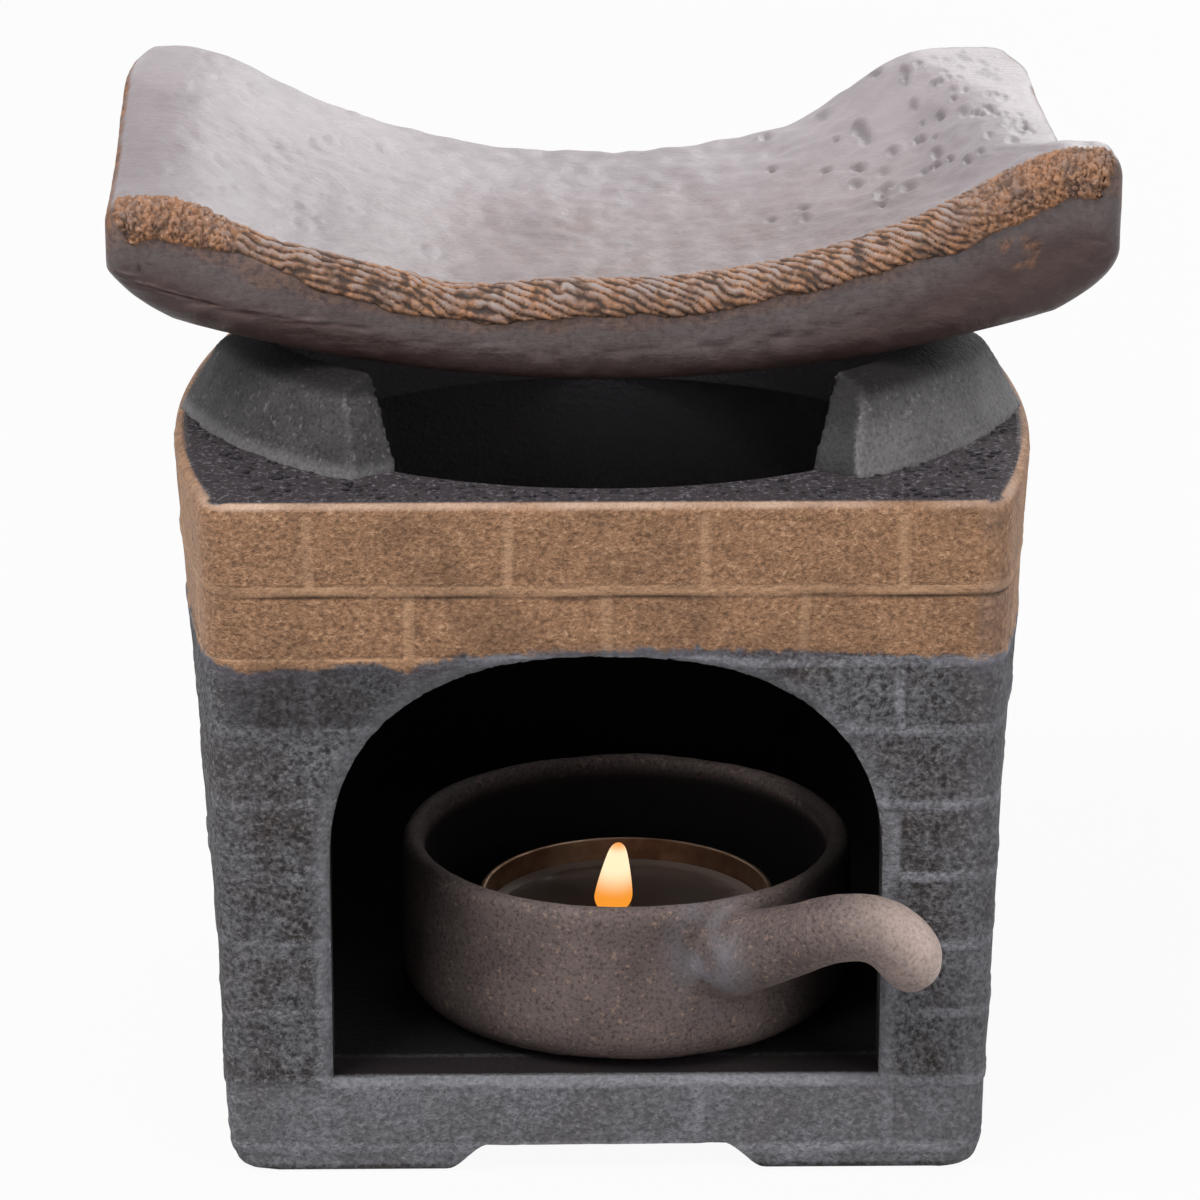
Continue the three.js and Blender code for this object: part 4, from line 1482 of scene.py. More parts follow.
@dataclass
class RestLugs:
    """The four leaning lugs on the deck that the dish lies on."""

    voxel: float = 0.55
    passes: int = 4
    sink: float = 0.8
    foot: float = 1.6
    uneven: float = 0.25
    # The front right lug is painted paler as painted light, the front left one darker as painted shade
    painted_light_right: float = 0.4
    painted_shade_left: float = 0.25

    def build(self, nodes: dict[str, Object], finish: Material) -> None:
        """Kneads each lug from its CAD solid, spreads its foot onto the deck and dresses it.

        Args:
            nodes: The CAD nodes by name.
            finish: The lugs' material.
        """
        for corner in ("front_right", "front_left", "back_left", "back_right"):
            node = f"rest_lug_{corner}"
            piece = copy_of(nodes[node], f"lug_{corner}")
            knead(piece, self.voxel, self.passes)
            at = places(piece)
            low = at[:, 2].min()
            rough = self.uneven * clay_noise(at, 5.0, 2.0) * ease(low + 9.0, low + 6.0, at[:, 2])
            at += outward(piece) * rough[:, None]
            at[:, 2] -= self.sink * ease(low + self.foot, low, at[:, 2])
            put(piece, at)
            x, y, z = (at - axis_of("stove_body")).T
            facing = outward(piece)
            lip = ease(0.07, 0.2, convexity(piece)) * np.clip(0.6 + clay_noise(at, 4.0, 5.0), 0.0, 1.0)
            hem = ease(low + 1.7, low + 0.3, z)
            # Painted light on the front right lug
            painted_light = self.painted_light_right * (corner == "front_right") * ease(low + 10.0, low + 2.0, z)
            # Painted shade on faces that turn to the hole or the side gaps, a painted shadow under the dish,
            # and painted shade on the front left lug
            inward = -(facing[:, 0] * x + facing[:, 1] * y) / np.hypot(x, y)
            painted_side_shade = ease(0.2, 0.45, -np.sign(x) * facing[:, 0]) * (corner != "front_left")
            painted_dish_shadow = 0.85 * ease(-3.2, -1.4, z - z.max())
            painted_shade = self.painted_shade_left * (corner == "front_left")
            smoked_and_shaded = np.maximum(0.9 * ease(0.1, 0.6, inward), 0.8 * painted_side_shade)
            marks = {
                "wear_and_highlight": np.maximum(0.55 * np.maximum(lip, 0.8 * hem), painted_light),
                "smoked_and_shaded": np.maximum(np.maximum(smoked_and_shaded, painted_dish_shadow), painted_shade),
            }
            note(piece, marks)
            smooth(piece, 60.0)
            dress(piece, finish, Body.STOVE, "grey_stoneware", node)


@dataclass
class TileDish:
    """The curved tile that the pot stands on: a thick bowed slab with a cord-pressed rusty front rim."""

    width: float = 124.6
    length: float = 69.0
    thickness: float = 12.5
    rise: float = 28.4
    underside: float = 180.0
    hollow: float = 95.0
    tip_round: float = 8.0
    lip: float = 16.3
    crown: float = 5.8
    edge_round: float = 3.4
    corner_drop: float = 1.8
    crest_lead: float = 0.2
    bend_lead: float = 0.46
    turn: float = 1.2
    offset_x: float = 0.7
    back_rise: float = 1.2
    rim_droop: float = 2.6
    wing_droop: float = 2.2
    end_setback: float = 6.0
    corner_setback: float = 1.8
    setback_start: float = 0.64
    ear_length: float = 7.5
    ear_fade: float = 8.0
    wing_build: float = 4.2
    wing_top: float = 27.0
    left_top: float = 28.8
    crease: float = 2.4
    top_round: float = 3.2
    bottom_round: float = 3.8
    end_steps: tuple[float, ...] = (0.0, 0.12, 0.4, 0.8, 1.3, 1.9, 2.6, 3.4, 4.4)
    end_zone: float = 5.3
    middle_steps: int = 84
    half_points: int = 180
    cap_rows: int = 9
    tip_columns: int = 24
    band_steps: int = 520
    band_rows: int = 34
    band_over: float = 0.7
    band_under: float = 2.9
    band_sink: float = 0.45
    band_depth: float = 1.0
    band_end: float = 0.8
    strand_pitch: float = 1.0
    strand_height: float = 0.56
    strand_fall: float = 25.0
    strand_sharpness: float = 0.75
    strand_seed: float = 7.0
    stray: float = 4.5
    worm: float = 0.8
    strand_lump: float = 1.7
    pit_count: int = 130
    pit_seed: int = 12
    pit_shade: float = 0.45
    dimple: float = 0.36
    swell: float = 0.14
    grain: float = 0.05
    drag: float = 0.28
    bowl_tint: float = 0.22

    def __post_init__(self) -> None:
        """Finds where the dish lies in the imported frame."""
        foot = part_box("tile_dish")[0].z / MM
        self.origin = axis_of("stove_body") + [self.offset_x, 0.0, foot]

    def chains(self) -> tuple[Array, Array]:
        """Draws the slab's section.

        Returns:
            Its underside and its upper side, both from the left tip to the right tip.
        """
        half = self.width / 2
        keel_x = half - self.tip_round
        keel_z = self.underside - math.sqrt(self.underside**2 - keel_x**2)
        hollow_x = half - self.lip
        hollow_z = self.thickness + self.hollow - math.sqrt(self.hollow**2 - hollow_x**2)
        slope = hollow_x / math.sqrt(self.hollow**2 - hollow_x**2)
        crown_x = half - self.crown
        run = crown_x - hollow_x
        bend_x = hollow_x + run * self.bend_lead
        bend_z = hollow_z + slope * (bend_x - hollow_x)
        tip = np.array([[half, (keel_z + self.tip_round + self.rise - self.crown) / 2]])
        flat = np.linspace(0.0, keel_x, 120)
        keel = np.stack([flat, self.underside - np.sqrt(self.underside**2 - flat**2)], axis=1)
        chin = [(keel_x, keel_z), (half, keel_z + self.tip_round / 2), (half, keel_z + self.tip_round)]
        low = np.vstack([keel, bezier(chin, 40)[1:], tip])
        bed = np.linspace(0.0, hollow_x, 120)
        bowl_z = self.thickness + self.hollow - np.sqrt(self.hollow**2 - bed**2)
        bowl = np.stack([bed, bowl_z], axis=1)
        crest = (crown_x - run * self.crest_lead, self.rise)
        wing = [(hollow_x, hollow_z), (bend_x, bend_z), crest, (crown_x, self.rise)]
        shoulder = half - self.edge_round
        brow = [(shoulder, self.rise), (half, self.rise), (half, self.rise - self.edge_round)]
        high = np.vstack([bowl, bezier(wing, 40)[1:], bezier(brow, 20), tip])
        sides = [evenly(line, self.half_points) for line in (low, high)]
        mirrored = [side[:0:-1] * [-1.0, 1.0] for side in sides]
        return np.vstack([mirrored[0], sides[0]]), np.vstack([mirrored[1], sides[1]])

    def loop(self) -> tuple[Array, Array, Array]:
        """Joins the two chains into one loop.

        Returns:
            The loop's points in X and Z, its inward directions, and how far each point is on the upper side.
        """
        low, high = self.chains()
        points = np.vstack([low, high[-2:0:-1]])
        ahead = np.roll(points, -1, axis=0) - np.roll(points, 1, axis=0)
        inward = np.stack([-ahead[:, 1], ahead[:, 0]], axis=1)
        inward /= np.linalg.norm(inward, axis=1)[:, None]
        upper = np.concatenate([np.zeros(len(low)), np.ones(len(high) - 2)])
        blend = 4
        window = np.ones(2 * blend + 1) / (2 * blend + 1)
        padded = np.concatenate([upper[-blend:], upper, upper[:blend]])
        return points, inward, np.convolve(padded, window, "valid")

    def warp(self, at: Array) -> Array:
        """Bends the slab out of true as its maker left it, with the underside kept true.

        The left wing droops in front, is flattened on its crest and rounded at its back corner. The right
        end stands back behind a front ear, and the right wing is built up and flattened. Spans are shares
        of half the width or length, or of the thickness.

        Args:
            at: Points in the dish's own frame.

        Returns:
            The moved points.
        """
        x, y, z = at.T
        half = self.width / 2
        side = np.minimum(np.abs(x) / half, 1.0)
        along = 2.0 * y / self.length
        under = self.underside - np.sqrt(self.underside**2 - (side * half) ** 2)
        free = ease(0.16, 0.88, (z - under) / self.thickness)
        height = z + free * self.back_rise * ease(-0.23, 0.87, along)
        rim = self.rim_droop * ease(0.06, 0.35, side)
        wing = self.wing_droop * ease(0.45, 0.77, side)
        droop = free * (rim + wing) * ease(0.64, -0.7, along)
        ear_end = self.ear_length - self.length / 2
        behind_ear = ease(ear_end, ear_end + self.ear_fade, y)
        outer = np.maximum(side - self.setback_start, 0.0) / (1.0 - self.setback_start)
        corner = self.corner_setback * ease(0.58, 1.0, along)
        set_back = outer * (self.end_setback * behind_ear + corner)
        build = self.wing_build * ease(0.17, 0.9, along) * ease(0.39, 0.69, side)
        flat = self.flattened(height + free * build, self.wing_top)
        rounded = free * self.corner_drop * ease(0.94, 1.0, side) * ease(0.45, 1.0, along)
        left = x < 0.0
        reach = np.where(left, x, x - set_back)
        crest = self.flattened(height, self.left_top)
        bent = np.where(left, crest - droop - rounded, height + (flat - height) * behind_ear)
        return np.stack([reach, y, bent], axis=1)

    def flattened(self, height: Array, top: float) -> Array:
        """Flattens what rises above a height, with a soft crease below it."""
        bend = np.clip(height - top + self.crease, 0.0, 2.0 * self.crease)
        return height - bend**2 / (4.0 * self.crease) - np.maximum(height - top - self.crease, 0.0)

    def place(self, at: Array) -> Array:
        """Turns points of the dish's own frame a little askew and sets them where it lies."""
        turned_flat = (at[:, 0] + 1j * at[:, 1]) * np.exp(1j * math.radians(self.turn))
        return np.stack([turned_flat.real, turned_flat.imag, at[:, 2]], axis=1) + self.origin

    def slab(self) -> Object:
        """Builds the bare slab with rounded edges and both end faces.

        Returns:
            The slab in the dish's own frame.
        """
        points, inward, upper = self.loop()
        count = len(points)
        half = self.length / 2
        close = np.array(self.end_steps)
        middle = np.linspace(-half + self.end_zone, half - self.end_zone, self.middle_steps)
        radius = self.bottom_round + (self.top_round - self.bottom_round) * upper
        rings = []
        for y in np.concatenate([-half + close, middle, (half - close)[::-1]]):
            gap = half - abs(y)
            short = np.maximum(radius - gap, 0.0)
            inset = radius - np.sqrt(radius**2 - short**2)
            rings.append(np.insert(points + inward * inset[:, None], 1, y, axis=1))
        here = np.arange(count)
        onward = (here + 1) % count
        faces: list[Sequence[int]] = []
        for level in range(len(rings) - 1):
            base = level * count
            quads = np.stack(
                [base + onward, base + here, base + count + here, base + count + onward], axis=1
            )
            faces.extend(quads.tolist())
        verts = list(np.vstack(rings))
        span = count // 2 + 1
        column = np.minimum(here, count - here)
        column = np.clip(column, self.tip_columns, span - 1 - self.tip_columns)
        for base, ring, facing in ((0, rings[0], 1), ((len(rings) - 1) * count, rings[-1], -1)):
            spine = (ring[:span] + ring[(count - np.arange(span)) % count]) / 2
            grid = [base + here]
            for row in range(1, self.cap_rows):
                grid.append(len(verts) + here)
                verts.extend(ring + (spine[column] - ring) * row / self.cap_rows)
            grid.append(len(verts) + column - self.tip_columns)
            verts.extend(spine[self.tip_columns:span - self.tip_columns])
            for outer, inner in zip(grid, grid[1:]):
                squares = np.stack([outer, outer[onward], inner[onward], inner], axis=1)
                for square in squares.tolist():
                    faces.append(list(dict.fromkeys(square))[::facing])
        return new_object("tile_slab", np.array(verts), faces)

    def pits(self, at: Array, facing: Array) -> tuple[Array, Array]:
        """Dents the upper side with a stick's marks, crisp on the right wing and faint on the left.

        Args:
            at: Points in the dish's own frame.
            facing: Their outward directions.

        Returns:
            How deep each point lies in a dent, in millimetres, and how far in its shaded part.
        """
        chance = np.random.default_rng(self.pit_seed)
        on_top = np.flatnonzero((facing[:, 2] > 0.5) & (at[:, 1] > 4.5 - self.length / 2))
        depth, shaded = np.zeros(len(at)), np.zeros(len(at))
        for _ in range(self.pit_count):
            crisp = chance.random() < 0.7
            x = 16.0 + 42.0 * math.sqrt(chance.random())
            y = chance.uniform(-0.28, 0.47) * self.length
            radius = chance.uniform(0.65, 1.15)
            deep = chance.uniform(0.4, 0.65)
            stretch = chance.uniform(1.5, 2.6)
            if not crisp:
                x, radius, deep = -x, 1.3 * radius, -0.3 * deep
            gap_x = (at[on_top, 0] - x) / radius
            gap_y = (at[on_top, 1] - y) / (radius * stretch)
            away = gap_x**2 + gap_y**2
            bowl = np.maximum(1.0 - away, 0.0)
            brim = 0.25 * np.exp(-((np.sqrt(away) - 1.2) ** 2) / 0.04)
            depth[on_top] += deep * (bowl - brim)
            shade = np.maximum(1.0 - (gap_x + 0.3) ** 2 - (gap_y - 0.4) ** 2, 0.0)
            shaded[on_top] += max(deep, 0.0) * shade
        return depth, np.minimum(shaded, self.pit_shade)

    def scuffs(self, at: Array) -> Array:
        """Marks two small scuffs on the front face, one on each wing.

        Args:
            at: Points in the dish's own frame.

        Returns:
            How far each point is scuffed, from 0 to 1.
        """
        x, y, z = at.T
        right = np.hypot((x - 50.0) / 5.0, (z - 16.5) / 2.4)
        left = np.hypot((x + 49.0) / 3.0, (z - 14.0) / 2.0)
        near = ease(1.1, 0.5, np.minimum(right, left)) * ease(2.0, 0.5, y + self.length / 2)
        return near * np.clip(1.6 * clay_noise(at, 1.3, 6.0) - 0.1, 0.0, 0.7)

    def tones(self, at: Array, facing: Array, down: Array) -> dict[str, Array]:
        """Finds where the slab is painted paler on its upper side as painted light and sheen, darker below
        as painted shade, and its chafed and rusty places.

        Args:
            at: Points in the dish's own frame.
            facing: Their outward directions.
            down: How far each lies under the upper side.

        Returns:
            The marks for the material.
        """
        x, y, z = at.T
        half = self.length / 2
        gap = y + half
        # Painted sheen, paler towards the back and the right
        pale = (0.8 + 0.2 * y / half) * (0.92 + 0.2 * ease(-5.0, 30.0, x))
        bowl = ease(46.0, 12.0, np.abs(x - 4.0)) * ease(24.0, -14.0, y)
        pale *= 1.0 - bowl * self.bowl_tint
        # The upward faces are painted paler as painted light and sheen
        inside = ease(0.1, 0.6, facing[:, 2]) * ease(1.5, 4.0, gap) * pale
        browned = self.bowl_tint * bowl * inside * (1.0 + clay_noise(at, 7.0, 12.0))
        # Painted shade on downward faces and on the left end face, and darker towards the bottom of the
        # front face
        below = ease(-0.25, -0.75, facing[:, 2])
        at_end = ease(0.6, 0.85, -facing[:, 0])
        low = np.maximum(ease(5.5, 12.0, down) * ease(3.5, 1.0, gap), np.maximum(below, 0.7 * at_end))
        brow = ease(7.0, 2.0, self.rise - z)
        at_back = ease(1.4, 0.2, half - y) * ease(8.0, 3.0, down)
        chafed = np.maximum(at_back, ease(1.2, 0.1, self.width / 2 - np.abs(x)) * brow)
        chafed *= np.clip(1.5 * clay_noise(at, 5.0, 9.0) - 0.1, 0.0, 0.75)
        left_edge = at_end * brow * np.clip(0.6 + 0.8 * clay_noise(at, 3.0, 8.0), 0.2, 0.9)
        chafed = np.maximum(chafed, left_edge)
        band = ease(4.3, 3.2, gap) * ease(5.8, 4.4, down + 1.2 * clay_noise(at, 5.0, 4.0))
        rusty = np.maximum(np.maximum(0.25 * band, chafed), np.maximum(self.scuffs(at), browned))
        return {"inside": inside, "low": low, "rust": rusty}

    def build(self, finish: Material) -> None:
        """Builds the slab, dents and warps it, marks its tones and dresses it.

        Args:
            finish: The slab's material.
        """
        piece = self.slab()
        at = places(piece)
        facing = outward(piece)
        _, high = self.chains()
        down = np.interp(at[:, 0], high[:, 0], high[:, 1]) - at[:, 2]
        gap = at[:, 1] + self.length / 2
        depth, shaded = self.pits(at, facing)
        bumps = self.swell * clay_noise(at, 9.0, 3.0) + self.grain * clay_noise(at, 2.2, 7.0)
        drags = clay_noise(at * [0.4, 1.0, 1.0], 1.0, 2.0)
        drawn = ease(2.5, 0.5, gap) * ease(5.0, 8.5, down)
        bumps += drawn * self.drag * np.minimum(drags, 0.2)
        upper = ease(0.3, 0.7, facing[:, 2]) * (0.5 + 0.5 * ease(-30.0, 15.0, at[:, 0]))
        dimpled = np.maximum(upper, ease(2.5, 0.5, gap))
        bumps += self.dimple * dimpled * clay_noise(at, 3.0, 11.0)
        lift = bumps * (1.0 - 0.8 * ease(6.0, 4.0, gap) * ease(9.0, 7.0, down)) - depth
        put(piece, self.place(self.warp(at + facing * lift[:, None])))
        # The dents' shaded parts are painted darker as painted shade
        note(piece, self.tones(at, facing, down) | {"painted_dent_shade": shaded})
        smooth(piece, 60.0)
        dress(piece, finish, Body.DISH, "purple_stoneware", "tile_dish")

    def cord_band(self) -> Object:
        """Lays a fine band over the front rim, closed below, with the marks that its strands follow.

        Returns:
            The band, which runs from the inner edge over the rounding to the front face.
        """
        _, high = self.chains()
        rim = evenly(high[np.abs(high[:, 0]) < self.width / 2 - self.band_end], self.band_steps)
        ahead = np.gradient(rim, axis=0)
        up = np.stack([-ahead[:, 1], ahead[:, 0]], axis=1)
        up /= np.linalg.norm(up, axis=1)[:, None]
        radius = self.top_round
        arc = radius * math.pi / 2
        rows = np.linspace(-self.band_over, arc + self.band_under, self.band_rows)
        skins: list[list[Array]] = [[], []]
        for row in rows:
            swing = min(max(row / radius, 0.0), math.pi / 2)
            behind, drop = max(-row, 0.0), max(row - arc, 0.0)
            normal = np.insert(up * math.cos(swing), 1, -math.sin(swing), axis=1)
            core = np.insert(rim - up * (radius + drop), 1, radius + behind - self.length / 2, axis=1)
            skins[0].append(core + normal * (radius - self.band_sink))
            skins[1].append(core + normal * (radius - self.band_sink - self.band_depth))
        points = np.vstack([np.vstack(skin_rows) for skin_rows in skins])
        count, columns = len(rows), len(rim)
        deep = count * columns
        grid = np.arange(deep).reshape(count, columns)
        under = grid + deep
        quads = [np.stack([grid[:-1, :-1], grid[1:, :-1], grid[1:, 1:], grid[:-1, 1:]], axis=-1)]
        quads.append(np.stack([under[:-1, :-1], under[:-1, 1:], under[1:, 1:], under[1:, :-1]], axis=-1))
        border = np.concatenate([grid[0, :-1], grid[:-1, -1], grid[-1, :0:-1], grid[:0:-1, 0]])
        onward = np.roll(border, -1)
        quads.append(np.stack([border, onward, onward + deep, border + deep], axis=-1))
        faces = np.vstack([block.reshape(-1, 4) for block in quads])
        piece = new_object("cord_rim", self.place(self.warp(points)), faces)
        self.mark_band(piece, points, np.repeat(rows, columns), np.tile(rim[:, 1], count))
        return piece

    def mark_band(self, piece: Object, points: Array, rows: Array, rim_z: Array) -> None:
        """Marks on the band where its strands run, how far they rise and where they are loose.

        Args:
            piece: The band.
            points: Its points in the dish's own frame, the upper skin first.
            rows: How far over the rounding each point of the upper skin lies.
            rim_z: The rim's height at each point of the upper skin.
        """
        shown = len(rows)
        x = points[:shown, 0]
        half = self.width / 2
        fall = math.radians(self.strand_fall)
        across = x * math.sin(fall) + (rim_z - rows) * math.cos(fall)
        last = self.top_round * math.pi / 2 + self.band_under - 1.4 * ease(50.0, 30.0, np.abs(x))
        last -= 2.6 * np.exp(-(((x + 45.0) / 8.0) ** 2))
        ragged = 0.9 * clay_noise(points[:shown], 4.0, 6.0)
        feather = ease(-self.band_over, -self.band_over / 2, rows + 0.25 * ragged)
        feather *= ease(last - 0.3, last - 1.5, rows + ragged)
        feather *= ease(half - 0.9, half - 2.4, np.abs(x) + 0.5 * ragged)
        loose = ease(42.0, 50.0, np.abs(x + 1.5))
        # The inner rows, where the crests are painted grey, partly as a painted highlight
        inner = ease(5.6, 2.4, rows + 1.3 * ragged) * (1.0 - 0.75 * loose)
        hidden = np.zeros(len(points) - shown)
        marks = {"across": across * MM, "feather": feather, "loose": loose, "inner": inner}
        note(piece, {name: np.concatenate([values, hidden]) for name, values in marks.items()})

    def press_cord(self, finish: Material) -> None:
        """Presses the twisted cord into the front rim and dresses the pressed band.

        Args:
            finish: The band's material.
        """
        piece = self.cord_band()
        sizes = {
            "Pitch": self.strand_pitch * MM,
            "Height": self.strand_height * MM,
            "Seed": self.strand_seed,
            "Finish": finish,
        }
        grow(piece, self.cord_tree(), sizes)
        dress(piece, finish, Body.DISH, "purple_stoneware")

    def cord_tree(self) -> GeometryNodeTree:
        """Builds the tree that raises slanting strands, and worm-like grain where they are loose.

        The surface carries how far each place lies across the strands, how far they may rise there and
        how loose they are. The raised share is kept as a mark for the material.

        Returns:
            The tree, with inputs for the strands' pitch, their height, a seed and the finish.
        """
        kinds = dict.fromkeys(("Pitch", "Height", "Seed"), "NodeSocketFloat")
        tree, add, given = open_tree("pressed_cord", kinds)
        names = ("across", "feather", "loose")
        carried = {name: add(Kind.CARRIED, name) for name in names}
        here = add(Kind.POSITION)
        grains = ((self.stray, 2.5), (self.worm, 1.5), (self.strand_lump, 2.0))
        clouds = []
        for shift, (size, detail) in enumerate(grains, 1):
            seed = add(Kind.SUM, given["Seed"], float(shift))
            clouds.append(add(Kind.NOISE, here, seed, 1.0 / (size * MM), detail, 0.55))
        stray, worms, lumps = clouds
        turns = add(Kind.DIVIDE, carried["across"], given["Pitch"])
        phase = add(Kind.SUM, turns, add(Kind.RANGE, stray, 0.25, 0.75, -0.9, 0.9))
        swell = add(Kind.ABSOLUTE, add(Kind.SINE, add(Kind.TIMES, phase, math.pi)))
        ridge = add(Kind.POWER, swell, self.strand_sharpness)
        ridge = add(Kind.TIMES, ridge, add(Kind.RANGE, lumps, 0.36, 0.56, 0.35, 1.0))
        crawl = add(Kind.ABSOLUTE, add(Kind.RANGE, worms, 0.4, 0.6, -1.0, 1.0))
        strand = add(Kind.EVEN, carried["loose"], ridge, crawl)
        raised = add(Kind.TIMES, strand, carried["feather"])
        height = add(Kind.TIMES, add(Kind.SUM, raised, carried["feather"]), given["Height"])
        offset = add(Kind.STRETCH, add(Kind.NORMAL), height)
        kept = add(Kind.KEEP, given["Geometry"], Name="strand", Value=raised)
        close_tree(add, add(Kind.MOVE, kept, Offset=offset), given["Finish"])
        return tree


@dataclass
class CandleCup:
    """The round cup that holds the candle, with a bent handle hooked down at its end."""

    radius: float = 28.9
    height: float = 21.6
    wall: float = 3.0
    floor: float = 3.2
    foot_round: float = 5.0
    rim_round: float = 1.4
    root_radius: float = 5.6
    waist_radius: float = 4.2
    root_angle: float = 27.0
    root_sink: float = 0.6
    reach: float = 9.2
    side_reach: float = 34.6
    bend_rise: float = 8.4
    root_height: float = 14.4
    hook_drop: float = 8.0
    taper_end: float = 0.45
    tip_start: float = 0.86
    tip_least: float = 0.12
    shoulder: float = 0.35
    voxel: float = 0.62
    passes: int = 7
    steps: int = 128
    handle_steps: int = 72
    handle_sides: int = 28
    knot_steps: int = 24
    swell: float = 0.2
    grain: float = 0.06
    bloom: float = 0.45

    def __post_init__(self) -> None:
        """Finds the cup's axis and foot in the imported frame."""
        self.centre = axis_of("candle_cup")

    def profile(self) -> list[tuple[float, float]]:
        """Draws the cup's section from the middle of its foot up the wall and down inside.

        Returns:
            Radius and height pairs.
        """
        bend = np.linspace(0.0, math.pi / 2, 8)
        inner = self.radius - self.wall
        inner_round = self.foot_round - self.wall / 2
        foot = self.radius - self.foot_round
        outside = [
            (foot + self.foot_round * math.sin(t), self.foot_round * (1 - math.cos(t))) for t in bend
        ]
        lip = self.wall / 2
        brow = self.height - self.rim_round
        over = [
            (self.radius - lip + lip * math.cos(t), brow + self.rim_round * math.sin(t))
            for t in np.linspace(0.0, math.pi, 9)
        ]
        inside = [
            (inner - inner_round * (1 - math.cos(t)), self.floor + inner_round * (1 - math.sin(t)))
            for t in bend
        ]
        return [(1.0, 0.0), *outside, *over, *inside, (1.0, self.floor)]

    def path(self) -> Array:
        """Draws the handle's middle line as a smooth curve from inside the wall to its tip.

        Returns:
            Evenly spaced points about the cup's axis.
        """
        angle = math.radians(self.root_angle)
        away = np.array([math.sin(angle), -math.cos(angle), 0.0])
        root = away * (self.radius - self.wall / 2)
        root[2] = self.root_height - self.root_sink
        start = away * (self.radius + self.reach * self.shoulder)
        hook_y = -self.radius - self.reach
        # Shares of the way aside, of the way forward, of the rise and of the drop
        route = (
            (0.0, 0.0, 0.2, 0.0),
            (0.28, 0.5, 0.62, 0.0),
            (0.52, 0.85, 0.95, 0.0),
            (0.76, 1.0, 1.0, 0.0),
            (0.94, 1.0, 1.0, 0.38),
            (1.0, 1.0, 1.0, 1.0),
        )
        knots = [root]
        for side, front, rise, drop in route:
            x = start[0] + (self.side_reach - start[0]) * side
            y = start[1] + (hook_y - start[1]) * front
            z = self.root_height + self.bend_rise * rise - self.hook_drop * drop
            knots.append(np.array([x, y, z]))
        knots = [2 * knots[0] - knots[1], *knots, 2 * knots[-1] - knots[-2]]
        drawn = []
        for four in zip(knots, knots[1:], knots[2:], knots[3:]):
            pairs = list(zip(four, four[1:]))
            lengths = [math.sqrt(np.linalg.norm(b - a)) for a, b in pairs]
            times = np.cumsum([0.0, *lengths])
            now = np.linspace(times[1], times[2], self.knot_steps)[:, None]
            legs = [
                a + (b - a) * (now - times[i]) / (times[i + 1] - times[i])
                for i, (a, b) in enumerate(pairs)
            ]
            arcs = [
                legs[i] + (legs[i + 1] - legs[i]) * (now - times[i]) / (times[i + 2] - times[i])
                for i in range(2)
            ]
            drawn.append(arcs[0] + (arcs[1] - arcs[0]) * (now - times[1]) / (times[2] - times[1]))
        return evenly(np.vstack(drawn), self.handle_steps)

    def handle(self) -> Object:
        """Sweeps the handle along its path, thick at the root and rounded at the tip.

        Returns:
            The closed sweep.
        """
        path = self.path()
        ahead = np.gradient(path, axis=0)
        ahead /= np.linalg.norm(ahead, axis=1)[:, None]
        side = np.cross(ahead[0], [0.0, 0.0, 1.0])
        angles = around(self.handle_sides)
        rings = []
        for step, (middle, forward) in enumerate(zip(path, ahead)):
            share = step / (self.handle_steps - 1)
            side = side - forward * np.dot(side, forward)
            side /= np.linalg.norm(side)
            above = np.cross(forward, side)
            taper = min(share / self.taper_end, 1.0)
            shaft = self.root_radius + (self.waist_radius - self.root_radius) * taper
            tip = max(share - self.tip_start, 0.0) / (1.0 - self.tip_start)
            radius = shaft * max(math.sqrt(1.0 - tip**2), self.tip_least)
            ring = np.cos(angles)[:, None] * side + np.sin(angles)[:, None] * above
            rings.append(middle + radius * ring + self.centre)
        return skin("cup_handle_sweep", rings)

    def tones(self, at: Array, facing: Array) -> dict[str, Array]:
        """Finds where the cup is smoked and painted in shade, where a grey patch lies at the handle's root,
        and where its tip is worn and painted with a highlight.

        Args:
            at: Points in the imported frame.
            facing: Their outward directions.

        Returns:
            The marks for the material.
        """
        x, y, z = (at - self.centre).T
        across = np.hypot(x, y)
        inner = self.radius - self.wall
        within = (across < inner + 0.6) & (z > self.floor - 1.0)
        # The cup's inside is darkened as smoke and painted shade, and its flanks as painted shade
        smoked_and_shaded = within * ease(self.height + 0.2, self.height - 3.0, z)
        aside = x / self.radius
        flanks = np.maximum(0.6 * ease(-0.25, -0.95, aside), 0.85 * ease(0.5, 0.85, aside))
        shaded = flanks * (across > inner) * ease(self.radius + 2.5, self.radius + 0.8, across)
        root_gap = np.hypot((x - 9.5) / 7.0, (z - 16.0) / 12.0)
        in_front = (y < 0.0) & (across > inner)
        patchy = np.clip(0.6 + clay_noise(at, 3.5, 8.0), 0.0, 1.0)
        tip_gap = np.linalg.norm(at - self.centre - self.path()[-8], axis=1)
        # The handle's tip is painted paler on faces that turn up and to the right, as a painted highlight on
        # its wear
        lit = 0.3 + 0.7 * ease(-0.4, 0.8, 0.7 * facing[:, 0] + 0.6 * facing[:, 2])
        return {
            "smoked_and_shaded": np.maximum(smoked_and_shaded, shaded),
            "bloom": self.bloom * ease(1.0, 0.1, root_gap) * in_front * patchy,
            "wear_and_highlight": ease(14.0, 3.0, tip_gap) * lit,
        }

